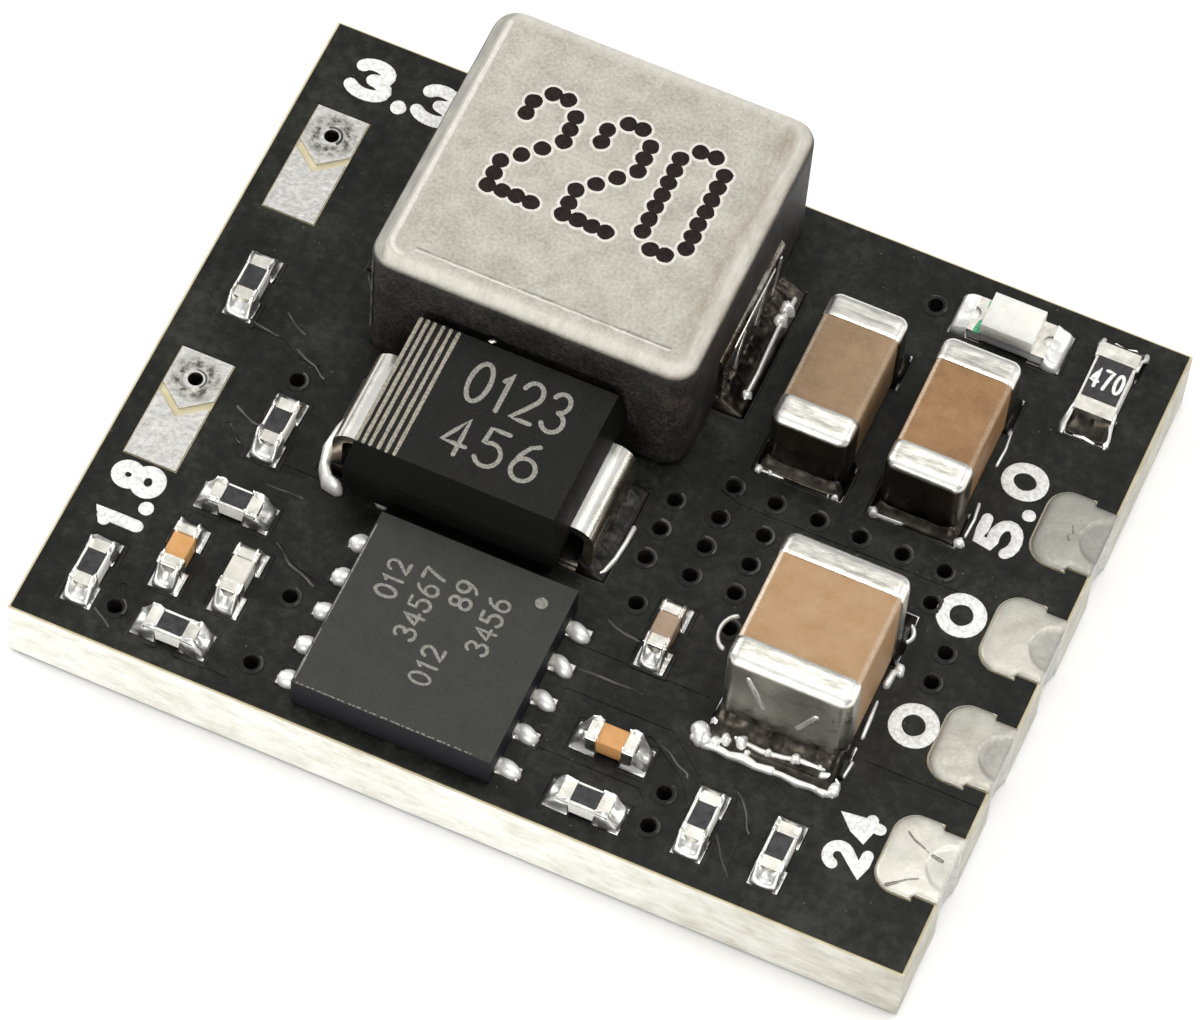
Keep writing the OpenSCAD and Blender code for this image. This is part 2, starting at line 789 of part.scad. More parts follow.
module drafted_side(l)
    polygon([
        [-l / 2 + dio_draft, dio_body_z], [l / 2 - dio_draft, dio_body_z],
        [l / 2, dio_part - lead_t / 2], [l / 2, dio_part + lead_t / 2],
        [l / 2 - dio_draft, dio_h], [-l / 2 + dio_draft, dio_h],
        [-l / 2, dio_part + lead_t / 2], [-l / 2, dio_part - lead_t / 2]
    ]);

// The cathode's arm carries the die; the anode's arm ends short of it
module diode_lead(arm)
    translate([dio_span / 2, 0, 0])
        across(lead_w)
            bent_strip(dio_part + lead_t / 2, lead_t, lead_r, arm, lead_foot);

module cathode_shape()
    rotate(180) diode_lead(dio_span / 2 + dio_die_s / 2);

// A clip steps up from the anode's arm and reaches over the die
module anode_shape() {
    inner = dio_span / 2 - anode_arm;
    diode_lead(anode_arm);
    bar(inner, inner + lead_t, clip_w, dio_part, dio_clip_z + lead_t);
    bar(-dio_die_s / 2, inner + lead_t, clip_w, dio_clip_z, dio_clip_z + lead_t);
}

module diode_die_shape()
    bar(-dio_die_s / 2, dio_die_s / 2, dio_die_s, dio_die_z, dio_clip_z);

module diode_body()
    color("#1d1d1e")
        at(DIO_AT, seat_z)
            difference() {
                intersection() {
                    across(dio_w) drafted_side(dio_l);
                    rotate(90) across(dio_l) drafted_side(dio_w);
                }
                cathode_shape();
                anode_shape();
                diode_die_shape();
            }

module diode_cathode_lead()
    color("#cfcdc8") at(DIO_AT, seat_z) cathode_shape();

module diode_anode_lead()
    color("#cfcdc8") at(DIO_AT, seat_z) anode_shape();

module diode_die()
    color("#5b5f6b") at(DIO_AT, seat_z) diode_die_shape();

// ---------- controller ----------

module ic_lead_shapes()
    both_ends()
        for (i = [0:ic_rows - 1])
            translate([ic_s / 2 - ic_lead_l, (i - (ic_rows - 1) / 2) * ic_pitch, 0])
                translate([0, -ic_lead_w / 2, 0]) cube([ic_lead_l, ic_lead_w, ic_lead_t]);

module ic_pad_shape()
    linear_extrude(ic_lead_t) square([ic_pad_w, ic_pad_l], center = true);

module ic_die_shape()
    translate([0, 0, ic_lead_t]) linear_extrude(die_t)
        square([ic_die_w, ic_die_l], center = true);

module controller_body()
    color("#3a3a38")
        at(IC_AT, seat_z)
            difference() {
                linear_extrude(ic_h) square(ic_s, center = true);
                ic_lead_shapes();
                ic_pad_shape();
                ic_die_shape();
            }

module controller_leads()
    color("#cfcdc8") at(IC_AT, seat_z) ic_lead_shapes();

module controller_thermal_pad()
    color("#cfcdc8") at(IC_AT, seat_z) ic_pad_shape();

module controller_die()
    color("#5b5f6b") at(IC_AT, seat_z) ic_die_shape();

// ---------- ceramic capacitors ----------

module cap_core(kind) {
    l = kind[0] - 2 * plate_t;
    w = kind[1] - 2 * plate_t;
    h = kind[2] - 2 * plate_t;
    translate([0, 0, plate_t]) soft_block(l, w, h, kind[5] - plate_t / 2);
}

module capacitor_body(chip, tint)
    color(tint) place(chip) cap_core(chip[0]);

module capacitor_caps(chip)
    color("#d9d7d2")
        place(chip)
            difference() {
                soft_block(chip[0][0], chip[0][1], chip[0][2], chip[0][5]);
                cap_core(chip[0]);
                bar(chip[0][3] - chip[0][0] / 2, chip[0][0] / 2 - chip[0][3],
                    chip[0][1] + past, -past, chip[0][2] + past);
            }

// ---------- chip resistors ----------

module resistor_core(kind)
    bar(plate_t - kind[0] / 2, kind[0] / 2 - plate_t, kind[1], plate_t, kind[2] - plate_t);

module resistor_body(chip)
    color("#e6e4dc") place(chip) resistor_core(chip[0]);

module resistor_caps(chip)
    color("#d9d7d2")
        place(chip)
            difference() {
                bar(-chip[0][0] / 2, chip[0][0] / 2, chip[0][1], 0, chip[0][2]);
                resistor_core(chip[0]);
                bar(chip[0][3] - chip[0][0] / 2, chip[0][0] / 2 - chip[0][3],
                    chip[0][1] + past, -past, chip[0][2] + past);
            }

module resistor_coat(chip)
    color("#26262a")
        place(chip)
            bar(chip[0][3] - chip[0][0] / 2, chip[0][0] / 2 - chip[0][3],
                chip[0][1] - 2 * coat_rim, chip[0][2] - plate_t, chip[0][2] - plate_t + coat_t);

// ---------- indicator ----------

// Carrier outline with a half hole in each end, shrunk by a margin
module led_outline(margin)
    difference() {
        square([led_l - 2 * margin, led_w], center = true);
        for (side = [-1, 1]) translate([side * led_l / 2, 0]) circle(led_notch + margin);
    }

module led_core()
    translate([0, 0, plate_t]) linear_extrude(led_base_h - 2 * plate_t) led_outline(plate_t);

module led_carrier()
    color("#eceae2") place(LED_AT) led_core();

module led_contacts()
    color("#d9d7d2")
        place(LED_AT)
            difference() {
                linear_extrude(led_base_h) led_outline(0);
                led_core();
                bar(led_cap - led_l / 2, led_l / 2 - led_cap,
                    led_w + past, -past, led_base_h + past);
            }

module led_lens()
    color("#f2f1e8")
        place(LED_AT)
            translate([0, 0, led_base_h - plate_t])
                difference() {
                    linear_extrude(led_lens_h + plate_t)
                        square([led_lens_l, led_w], center = true);
                    both_ends()
                        bar(led_l / 2 - led_cap, led_l, led_w + past, -eps, plate_t);
                }

// ---------- nodes ----------

function output_name(i, piece) = str("output_capacitor_", i + 1, "_", piece);
function small_name(i) = str("small_capacitor_", i + 1, "_body");
function resistor_name(i) = str("resistor_", i + 1, "_body");

board_laminate();
solder_mask_top();
solder_mask_bottom();
via_barrels();
edge_pad(0);  // input_pad
edge_pad(1);  // ground_pad_front
edge_pad(2);  // ground_pad_rear
edge_pad(3);  // output_pad
edge_pad_solder();
selector(0);  // selector_front
selector(1);  // selector_rear
component_lands();
solder_joints();
inductor_body();
inductor_winding();
inductor_terminals();
diode_body();
diode_cathode_lead();
diode_anode_lead();
diode_die();
controller_body();
controller_leads();
controller_thermal_pad();
controller_die();
capacitor_body(INPUT_CAP, CIN_TINT);  // input_capacitor_body
capacitor_caps(INPUT_CAP);  // input_capacitor_caps
for (i = [0:1]) {
    capacitor_body(OUTPUT_CAPS[i], COUT_TINTS[i]);
    capacitor_caps(OUTPUT_CAPS[i]);
}
for (i = [0:3])
    capacitor_body(CAPACITORS[i], CAP_TINTS[i]);
for (chip = CAPACITORS) capacitor_caps(chip);  // small_capacitor_caps
for (i = [0:7])
    resistor_body(RESISTORS[i]);
for (chip = RESISTORS) resistor_caps(chip);
for (chip = RESISTORS) resistor_coat(chip);  // resistor_coats
led_carrier();
led_contacts();
led_lens();
resistor_body(RLED_AT);  // led_resistor_body
resistor_caps(RLED_AT);  // led_resistor_caps
resistor_coat(RLED_AT);  // led_resistor_coat
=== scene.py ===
"""Looks for the buck converter module: camera, light, materials, solder, markings."""

import math

import bmesh
import bpy
from mathutils import Euler, Matrix, Vector, noise


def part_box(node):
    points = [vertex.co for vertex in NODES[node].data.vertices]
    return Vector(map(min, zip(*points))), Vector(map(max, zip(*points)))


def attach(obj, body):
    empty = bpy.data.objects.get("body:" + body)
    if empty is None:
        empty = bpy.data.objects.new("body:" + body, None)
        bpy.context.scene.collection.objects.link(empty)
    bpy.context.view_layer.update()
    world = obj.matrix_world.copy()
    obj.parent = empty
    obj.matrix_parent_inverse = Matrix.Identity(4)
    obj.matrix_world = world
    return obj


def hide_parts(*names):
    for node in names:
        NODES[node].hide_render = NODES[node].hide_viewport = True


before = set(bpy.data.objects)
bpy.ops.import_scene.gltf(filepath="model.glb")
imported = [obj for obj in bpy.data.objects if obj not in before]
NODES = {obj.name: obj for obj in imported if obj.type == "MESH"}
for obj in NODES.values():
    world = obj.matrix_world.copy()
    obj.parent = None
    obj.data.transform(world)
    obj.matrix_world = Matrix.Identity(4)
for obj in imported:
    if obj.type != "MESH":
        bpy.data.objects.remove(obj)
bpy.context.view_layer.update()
MM = 0.001

# ---------- stage: camera, floor, light ----------

# Places and sizes in millimetres, turns in degrees
CAMERA_AT = (20.573, -60.492, 107.834)
CAMERA_TURN = (30.6299, -2.8396, 23.6828)
CAMERA_LENS = 197.63
SENSOR = 36.0
FLOOR_HALF = 600
FLOOR_DROP = 0.02
# Height from 0 to 1 and grey level of the sky at its lower and upper stop
SKY = ((0.05, 0.14), (0.75, 0.74))
WARM = (1.0, 0.985, 0.94)
# Soft panels that face the module: place, width and height, power in watts
PANELS = {
    "panel_top": ((40, 20, 190), (120, 90), 0.15),
    "panel_left": ((-150, 30, 90), (70, 70), 0.14),
    "panel_right": ((150, 50, 70), (50, 50), 0.05),
    "panel_front": ((10, -160, 45), (110, 40), 0.12),
}


def add_object(name, data):
    thing = bpy.data.objects.new(name, data)
    bpy.context.scene.collection.objects.link(thing)
    return thing


def make_camera():
    data = bpy.data.cameras.new("camera")
    data.sensor_width = SENSOR
    data.lens = CAMERA_LENS
    data.clip_start = 5 * MM
    data.clip_end = 10.0
    camera = add_object("camera", data)
    camera.location = Vector(CAMERA_AT) * MM
    camera.rotation_euler = Euler([math.radians(a) for a in CAMERA_TURN], "XYZ")
    bpy.context.scene.camera = camera


def make_lights():
    for name, (at, size, power) in PANELS.items():
        data = bpy.data.lights.new(name, "AREA")
        data.shape = "RECTANGLE"
        data.size, data.size_y = size[0] * MM, size[1] * MM
        data.energy = power
        data.color = WARM
        lamp = add_object(name, data)
        lamp.location = Vector(at) * MM
        lamp.rotation_euler = (-Vector(at)).to_track_quat("-Z", "Y").to_euler()


def make_sky():
    world = bpy.data.worlds.new("world")
    bpy.context.scene.world = world
    world.use_nodes = True
    tree = world.node_tree
    place = tree.nodes.new("ShaderNodeTexCoord")
    parts = tree.nodes.new("ShaderNodeSeparateXYZ")
    sky = tree.nodes.new("ShaderNodeValToRGB")
    tree.links.new(place.outputs["Generated"], parts.inputs[0])
    tree.links.new(parts.outputs[2], sky.inputs[0])
    tree.links.new(sky.outputs[0], tree.nodes["Background"].inputs["Color"])
    for element, (at, grey) in zip(sky.color_ramp.elements, SKY):
        element.position = at
        element.color = (grey, grey, grey * 1.02, 1)


def make_floor():
    half = FLOOR_HALF * MM
    mesh = bpy.data.meshes.new("floor")
    corners = [(-half, -half, 0), (half, -half, 0), (half, half, 0), (-half, half, 0)]
    mesh.from_pydata(corners, [], [(0, 1, 2, 3)])
    floor = add_object("floor", mesh)
    floor.location.z = -FLOOR_DROP * MM
    paper = Look("floor_paper", roughness=0.9, colour=(0.93, 0.93, 0.93))
    mesh.materials.append(paper.material)


def make_stage():
    make_camera()
    make_sky()
    make_lights()
    view = bpy.context.scene.view_settings
    view.view_transform = "Standard"
    view.look = "None"
    make_floor()


# ---------- materials ----------

LOOKS = {}


class Look:
    """A procedural material, kept in LOOKS under its name. Its coordinates are in millimetres."""

    def __init__(self, name, metallic=0.0, specular=0.5, roughness=0.5, colour=(0.5, 0.5, 0.5)):
        self.material = bpy.data.materials.new(name)
        self.material.use_nodes = True
        self.tree = self.material.node_tree
        self.shader = self.tree.nodes["Principled BSDF"]
        self.shader.inputs["Base Color"].default_value = (*colour, 1)
        self.shader.inputs["Roughness"].default_value = roughness
        self.shader.inputs["Metallic"].default_value = metallic
        self.shader.inputs["Specular IOR Level"].default_value = specular
        self.last_normal = None
        self.place = None
        LOOKS[name] = self.material

    def add(self, kind, inputs=(), **settings):
        node = self.tree.nodes.new(kind)
        for key, value in settings.items():
            setattr(node, key, value)
        for key, value in dict(inputs).items():
            if isinstance(value, bpy.types.NodeSocket):
                self.tree.links.new(value, node.inputs[key])
            else:
                node.inputs[key].default_value = value
        return node

    def vector(self, operation, inputs):
        return self.add("ShaderNodeVectorMath", inputs, operation=operation).outputs

    def mm(self):
        if self.place is None:
            source = self.add("ShaderNodeTexCoord").outputs["Object"]
            self.place = self.vector("SCALE", {0: source, 3: 1 / MM})[0]
        return self.place

    def stretched(self, factors):
        return self.vector("MULTIPLY", {0: self.mm(), 1: factors})[0]

    def noise(self, size, detail=3, rough=0.5, stretch=(1, 1, 1)):
        """Noise from 0 to 1 with features of about `size` millimetres."""
        inputs = {"Vector": self.stretched(stretch), "Scale": 1 / size, "Detail": detail,
                  "Roughness": rough}
        return self.add("ShaderNodeTexNoise", inputs).outputs[0]

    def cells(self, size):
        """Distance from the nearest of scattered points about `size` millimetres apart."""
        inputs = {"Vector": self.stretched((1, 1, 1)), "Scale": 1 / size}
        return self.add("ShaderNodeTexVoronoi", inputs).outputs["Distance"]

    def ramp(self, value, *stops):
        node = self.add("ShaderNodeValToRGB", {0: value})
        elements = node.color_ramp.elements
        while len(elements) < len(stops):
            elements.new(0.5)
        for element, (at, colour) in zip(elements, stops):
            element.position = at
            element.color = (*colour, 1)
        return node.outputs[0]

    def remap(self, value, low_in, high_in, low=0, high=1):
        return self.add("ShaderNodeMapRange", {0: value, 1: low_in, 2: high_in, 3: low, 4: high}).outputs[0]

    def mix(self, factor, a, b):
        """Colour a where factor is 0, b where it is 1; either may be a socket or a tuple."""
        inputs = {0: factor}
        for key, value in ((6, a), (7, b)):
            inputs[key] = (*value, 1) if isinstance(value, tuple) else value
        return self.add("ShaderNodeMix", inputs, data_type="RGBA").outputs[2]

    def math(self, operation, *values):
        return self.add("ShaderNodeMath", dict(enumerate(values)), operation=operation).outputs[0]

    def times(self, a, b):
        return self.math("MULTIPLY", a, b)

    def blend(self, a, b, share):
        """A share of a and the rest of b."""
        return self.math("ADD", self.times(a, share), self.times(b, 1 - share))

    def part(self, vector, axis):
        return self.add("ShaderNodeSeparateXYZ", {0: vector}).outputs[axis]

    def facing(self, axis):
        """How far the surface faces along an axis of the object, from -1 to 1."""
        return self.part(self.add("ShaderNodeTexCoord").outputs["Normal"], axis)

    def upward(self, *limits):
        """0 to 1 between two degrees of looking up, or what else the limits map them to."""
        return self.remap(self.facing(2), *limits)

    def along(self, axis):
        """Place along an axis of the object's own box, from 0 to 1."""
        return self.part(self.add("ShaderNodeTexCoord").outputs["Generated"], axis)

    def colour(self, socket):
        self.tree.links.new(socket, self.shader.inputs["Base Color"])

    def rough(self, socket, low, high):
        self.tree.links.new(self.remap(socket, 0.25, 0.75, low, high), self.shader.inputs["Roughness"])

    def bump(self, socket, depth):
        """Relief of `depth` millimetres; several stack up."""
        inputs = {"Strength": 1.0, "Distance": depth * MM, "Height": socket}
        if self.last_normal is not None:
            inputs["Normal"] = self.last_normal
        self.last_normal = self.add("ShaderNodeBump", inputs).outputs[0]
        self.tree.links.new(self.last_normal, self.shader.inputs["Normal"])
        return self


def look_mask(name, edge_highlight=0.0):
    """Black solder mask, a little olive; the second argument is how far it is lightened to grey, as painted
    highlight on lips and ridges.
    """
    look = Look(name, specular=0.2)
    blotch = look.noise(1.6, 4, 0.6)
    mottle = look.noise(0.26, 6, 0.78)
    grain = look.noise(0.09, 2)
    base = look.ramp(look.blend(blotch, mottle, 0.45), (0.40, (0.0035, 0.0037, 0.0027)),
                     (0.50, (0.0098, 0.0101, 0.0078)), (0.62, (0.027, 0.0275, 0.0225)))
    if edge_highlight:
        # painted highlight: the mask lightened to grey
        highlight_share = look.remap(look.noise(0.5), 0.35, 0.65, 0.15 * edge_highlight, edge_highlight)
        base = look.mix(highlight_share, base, (0.27, 0.265, 0.24))
    dust = look.remap(look.cells(0.26), 0.035, 0.075, 1, 0)
    patch = look.remap(look.noise(2.0, 2), 0.46, 0.62)
    look.colour(look.mix(look.times(dust, patch), base, (0.13, 0.125, 0.105)))
    look.rough(look.noise(0.5, 4, 0.65), 0.30, 0.55)
    look.bump(blotch, 0.012).bump(mottle, 0.006).bump(grain, 0.0016)


def look_laminate():
    """Glass cloth and resin: pale and cloudy cut edges, darker towards the right as painted shade, yellower
    under the mask.
    """
    look = Look("glass_laminate", specular=0.35)
    cloud = look.noise(0.55, 4, 0.62, (0.7, 0.7, 1.2))
    layers = look.noise(0.14, 3, 0.6, (0.25, 0.25, 1.0))
    fibres = look.noise(0.05, 2, 0.5, (1, 1, 0.5))
    both = look.blend(cloud, layers, 0.62)
    base = look.ramp(both, (0.34, (0.60, 0.59, 0.50)), (0.47, (0.76, 0.755, 0.69)),
                     (0.60, (0.86, 0.86, 0.82)))
    cut = look.mix(look.remap(fibres, 0.60, 0.7, 0, 0.2), base, (0.93, 0.92, 0.89))
    # painted shade: the cut edges turn darker over the right part of the board
    dull = look.ramp(both, (0.36, (0.40, 0.385, 0.32)), (0.60, (0.60, 0.585, 0.52)))
    cut = look.mix(look.remap(look.along(0), 0.62, 1.0), cut, dull)
    resin = look.ramp(layers, (0.3, (0.50, 0.44, 0.27)), (0.7, (0.68, 0.62, 0.43)))
    look.colour(look.mix(look.upward(0.8, 0.95), cut, resin))
    look.rough(fibres, 0.5, 0.75)
    look.bump(cloud, 0.03).bump(layers, 0.02).bump(fibres, 0.008)


# Tinned metals: dark and light tint, least and most roughness, depth and size of the mottle, metallic
METALS = {
    "pad_tin": ((0.50, 0.49, 0.46), (0.78, 0.77, 0.74), 0.28, 0.46, 0.010, 0.16),
    # The via barrels' tin is dark: painted shade inside the via holes.
    "via_tin": ((0.06, 0.055, 0.05), (0.20, 0.19, 0.17), 0.4, 0.6, 0.004, 0.1),
    "solder": ((0.74, 0.74, 0.73), (0.94, 0.94, 0.92), 0.10, 0.28, 0.012, 0.12),
    # Near-white half-metal solder: painted sheen on the rim beads and threads, the LED's solder and the
    # controller's lead beads.
    "solder_white_sheen": ((0.80, 0.79, 0.76), (0.97, 0.965, 0.94), 0.30, 0.5, 0.012, 0.16, 0.5),
    # Near-black solder: painted dark reflection in the pools round the large parts, painted shade in the
    # LED resistor's hollows.
    "solder_painted_dark": ((0.012, 0.0115, 0.010), (0.080, 0.070, 0.058), 0.28, 0.46, 0.008, 0.32),
    # Near-black solder: painted shade in the pools at the diode's leads.
    "solder_painted_shade": ((0.004, 0.004, 0.004), (0.03, 0.026, 0.022), 0.3, 0.5, 0.008, 0.3, 0.6),
    "bright_solder": ((0.86, 0.855, 0.83), (0.98, 0.975, 0.95), 0.28, 0.46, 0.008, 0.14),
    "plug_solder": ((0.40, 0.40, 0.38), (0.66, 0.65, 0.62), 0.3, 0.5, 0.010, 0.16),
    # Darker grey: painted shade along the input pad's creases, and the output pad's smudge.
    "crease_shade_and_smudge": ((0.16, 0.155, 0.14), (0.36, 0.35, 0.32), 0.4, 0.6, 0.004, 0.1),
}


def look_metal(name, dark, light, low, high, depth, size, metallic=1.0, tarnish=None, upright=None,
               until=(0.15, 0.6)):
    """Tinned metal: a mottled tint, uneven gloss and a slightly wavy face.

    tarnish: the colour of its stains; upright: the colour of its upright faces; until: how far
    a face may look up, from 0 to 1, where that colour starts to fade and where it is gone.
    """
    look = Look(name, metallic)
    mottle = look.noise(size, 4, 0.6)
    wave = look.noise(size * 2.4, 2)
    base = look.ramp(mottle, (0.3, dark), (0.7, light))
    if tarnish is not None:
        base = look.mix(look.remap(look.noise(size * 5), 0.48, 0.68, 0, 0.85), base, tarnish)
    if upright is not None:
        deep = look.mix(look.remap(wave, 0.35, 0.65), tuple(c * 0.45 for c in upright), upright)
        base = look.mix(look.upward(*until), deep, base)
    look.colour(base)
    look.rough(look.noise(size * 0.6), low, high)
    look.bump(wave, depth).bump(mottle, depth * 0.35)


def look_edge_solder():
    """Solder on the castellated pads: satin, duller over the half holes, with painted light on the
    first pad of the row and painted shade on the last."""
    look = Look("edge_solder", 0.85)
    first, size = centre_size("input_pad")
    second, _ = centre_size("ground_pad_front")
    pitch = second.y - first.y
    up_row = look.math("SUBTRACT", look.part(look.mm(), 1), first.y)
    beside = look.math("WRAP", up_row, pitch / 2, -pitch / 2)
    inward = look.math("SUBTRACT", look.part(look.mm(), 0), first.x + size.x / 2)
    away = look.math("SQRT", look.math("ADD", look.times(beside, beside), look.times(inward, inward)))
    mottle = look.noise(0.35, 4, 0.6)
    grain = look.noise(0.07)
    base = look.ramp(mottle, (0.3, (0.45, 0.437, 0.385)), (0.7, (0.57, 0.557, 0.50)))
    dull = look.ramp(mottle, (0.3, (0.33, 0.322, 0.29)), (0.7, (0.43, 0.42, 0.385)))
    base = look.mix(look.remap(away, HALF_HOLE - 0.04, HALF_HOLE + 0.02, 1, 0), base, dull)
    first_gap, last_gap = pitch / 2, 2.5 * pitch
    # painted light: the first pad of the row is lightened
    bright = look.remap(up_row, first_gap - 0.1, first_gap + 0.1, 0.45, 0)
    base = look.mix(bright, base, (0.80, 0.79, 0.72))
    # painted shade: the last pad of the row is darkened
    dark = look.remap(up_row, last_gap - 0.1, last_gap + 0.1, 0, 0.45)
    look.colour(look.mix(dark, base, (0.20, 0.195, 0.175)))
    look.rough(grain, 0.46, 0.62)
    look.bump(mottle, 0.010).bump(grain, 0.003)


def look_ferrite():
    """Pressed powder core: pale lacquer on the top face, dark bare powder on the sides, and a painted
    highlight on the bevel where it faces left.
    """
    look = Look("pressed_core", specular=0.4)
    grain = look.noise(0.07, 3, 0.7)
    cloud = look.noise(0.55, 3, 0.55)
    both = look.blend(grain, cloud, 0.6)
    top = look.ramp(both, (0.36, (0.31, 0.297, 0.252)), (0.5, (0.415, 0.40, 0.345)),
                    (0.64, (0.51, 0.498, 0.435)))
    side = look.ramp(both, (0.36, (0.006, 0.006, 0.005)), (0.5, (0.015, 0.013, 0.011)),
                     (0.64, (0.045, 0.036, 0.030)))
    across = look.along(0)
    flaked = look.remap(look.noise(0.3, 4, 0.7, (1.6, 0.5, 1)), 0.40, 0.60, 0.15, 0.75)
    scraped = look.times(look.remap(across, 0.86, 0.95), flaked)
    top = look.mix(scraped, top, (0.27, 0.215, 0.16))
    streak = look.noise(0.25, 4, 0.7, (1.5, 0.4, 1))
    border = look.times(look.remap(across, 0.045, 0.06, 1, 0), look.remap(streak, 0.35, 0.6, 0.35, 1))
    top = look.mix(border, top, (0.27, 0.26, 0.24))
    # painted highlight: the bevel lightened where it faces left
    rim = look.times(look.upward(0.55, 0.80), look.upward(0.985, 0.999, 1, 0))
    rim = look.times(rim, look.remap(streak, 0.3, 0.6, 0.35, 0.9))
    rim = look.times(rim, look.remap(look.facing(0), -0.3, -0.1))
    top = look.mix(rim, top, (0.60, 0.58, 0.52))
    look.colour(look.mix(look.upward(0.35, 0.62), side, top))
    look.rough(grain, 0.45, 0.72)
    look.bump(grain, 0.006).bump(cloud, 0.010)


def look_epoxy(name, dark, light, side, low, high, grain_size, depth):
    """Moulded epoxy; side is the colour of the polished upright faces."""
    look = Look(name, specular=0.18)
    grain = look.noise(grain_size, 2)
    cloud = look.noise(0.45, 5, 0.7)
    base = look.ramp(look.blend(grain, cloud, 0.5), (0.35, dark), (0.65, light))
    polished = look.mix(cloud, side, tuple(c * 1.8 for c in side))
    look.colour(look.mix(look.upward(0.5, 0.9), polished, base))
    look.rough(cloud, low, high)
    look.bump(grain, depth)


# Fired ceramics: dark and light tint, speckle, and the pale painted highlight on the rounded long edges
CERAMICS = {
    "ceramic_tan": ((0.335, 0.19, 0.085), (0.405, 0.26, 0.14), (0.48, 0.34, 0.20), (0.80, 0.72, 0.60)),
    "ceramic_grey": ((0.22, 0.14, 0.073), (0.32, 0.205, 0.113), (0.42, 0.31, 0.20), (0.60, 0.50, 0.38)),
    "ceramic_orange": ((0.20, 0.098, 0.034), (0.305, 0.168, 0.072), (0.40, 0.25, 0.13), (0.66, 0.52, 0.38)),
    "ceramic_small_orange": ((0.50, 0.24, 0.07), (0.64, 0.34, 0.13), (0.72, 0.50, 0.30)),
    "ceramic_pale": ((0.52, 0.49, 0.43), (0.70, 0.68, 0.62), (0.80, 0.78, 0.74)),
    "ceramic_beige": ((0.30, 0.20, 0.13), (0.42, 0.31, 0.22), (0.55, 0.45, 0.35)),
}


def look_ceramic(name, dark, light, spot, edge=None):
    look = Look(name, specular=0.45)
    grain = look.noise(0.06, 3, 0.65)
    cloud = look.noise(0.5, 5, 0.68)
    base = look.ramp(cloud, (0.3, dark), (0.7, light))
    base = look.mix(look.remap(grain, 0.55, 0.75, 0, 0.35), base, spot)
    # painted highlight: the rounded long edges lightened, most where they face left
    if edge is not None:
        highlight_band = look.times(look.upward(0.35, 0.62), look.upward(0.90, 0.985, 1, 0))
        highlight_band = look.times(highlight_band, look.remap(grain, 0.35, 0.6, 0.45, 0.9))
        highlight_band = look.times(highlight_band, look.remap(look.facing(0), -0.1, 0.1, 1.0, 0.35))
        base = look.mix(highlight_band, base, edge)
    look.colour(base)
    look.rough(grain, 0.34, 0.5)
    look.bump(grain, 0.004).bump(cloud, 0.01)


def look_cap_end(name, face, foot):
    """Tin on a large capacitor's end: rounded edges lightened as painted highlight, a streaky flat top and
    darker faces.

    face, foot: colours of the upright faces above and near the board.
    """
    look = Look(name, 1.0)
    mottle = look.noise(0.24, 4, 0.6)
    streak = look.noise(0.15, 5, 0.7, (0.32, 1.7, 1))
    top = look.ramp(streak, (0.38, (0.50, 0.49, 0.43)), (0.5, (0.72, 0.70, 0.63)),
                    (0.62, (0.88, 0.865, 0.80)))
    # painted highlight: the rounded edges lightened
    top = look.mix(look.upward(0.93, 0.995), (0.97, 0.955, 0.90), top)
    level = look.math("ADD", look.along(2), look.remap(mottle, 0.3, 0.7, -0.14, 0.14))
    side = look.mix(look.remap(level, 0.12, 0.55), foot, face)
    side = look.mix(look.remap(mottle, 0.35, 0.65, 0, 0.45), side, tuple(c * 0.5 for c in face))
    look.colour(look.mix(look.upward(0.12, 0.5), side, top))
    look.rough(mottle, 0.24, 0.42)
    look.bump(look.noise(0.6, 2), 0.008).bump(streak, 0.006)


# Width and length of a selector land, and how far up its length the via is
SELECTOR_SIZE = (1.06, 2.57)
SELECTOR_VIA = 2.0 / SELECTOR_SIZE[1]


def look_selector():
    """Tinned lands, darkened in a ring round the via in their upper half."""
    look = Look("selector_tin", 1.0)
    mottle = look.noise(0.1, 4, 0.6)
    wave = look.noise(0.35, 2)
    place = look.add("ShaderNodeTexCoord").outputs["Generated"]
    from_via = look.vector("SUBTRACT", {0: place, 1: (0.5, SELECTOR_VIA, 0.5)})[0]
    from_via = look.vector("MULTIPLY", {0: from_via, 1: (*SELECTOR_SIZE, 0)})[0]
    away = look.vector("LENGTH", {0: from_via})["Value"]
    ring = look.times(look.remap(away, 0.20, 0.28), look.remap(away, 0.36, 0.56, 1, 0))
    base = look.ramp(mottle, (0.3, (0.56, 0.55, 0.52)), (0.7, (0.72, 0.71, 0.68)))
    ring_darkening = look.ramp(look.noise(0.16, 4, 0.65), (0.42, (0.12, 0.115, 0.10)), (0.58, (0.56, 0.55, 0.50)))
    look.colour(look.mix(ring, base, ring_darkening))
    look.rough(mottle, 0.32, 0.5)
    look.bump(wave, 0.02).bump(mottle, 0.008)


def look_silicon():
    look = Look("silicon", 0.3)
    cells = look.cells(0.09)
    look.colour(look.ramp(cells, (0.2, (0.07, 0.08, 0.11)), (0.8, (0.13, 0.14, 0.17))))
    look.rough(cells, 0.2, 0.35)
    look.bump(cells, 0.001)


def look_plain(name, dark, light, size, low, high, depth, detail=3, rough=0.5, stretch=(1, 1, 1),
               stops=(0.3, 0.7), **shader):
    """One noise for tint, for roughness from low to high and for relief."""
    look = Look(name, **shader)
    grain = look.noise(size, detail, rough, stretch)
    look.colour(look.ramp(grain, (stops[0], dark), (stops[1], light)))
    look.rough(grain, low, high)
    look.bump(grain, depth)
    return look


def look_led_plastic(name, dark, light, low, high):
    look = look_plain(name, dark, light, 0.22, low, high, 0.006)
    look.shader.inputs["Subsurface Weight"].default_value = 0.8
    look.shader.inputs["Subsurface Radius"].default_value = (0.5 * MM, 0.48 * MM, 0.42 * MM)
    look.shader.inputs["Subsurface Scale"].default_value = 1.0


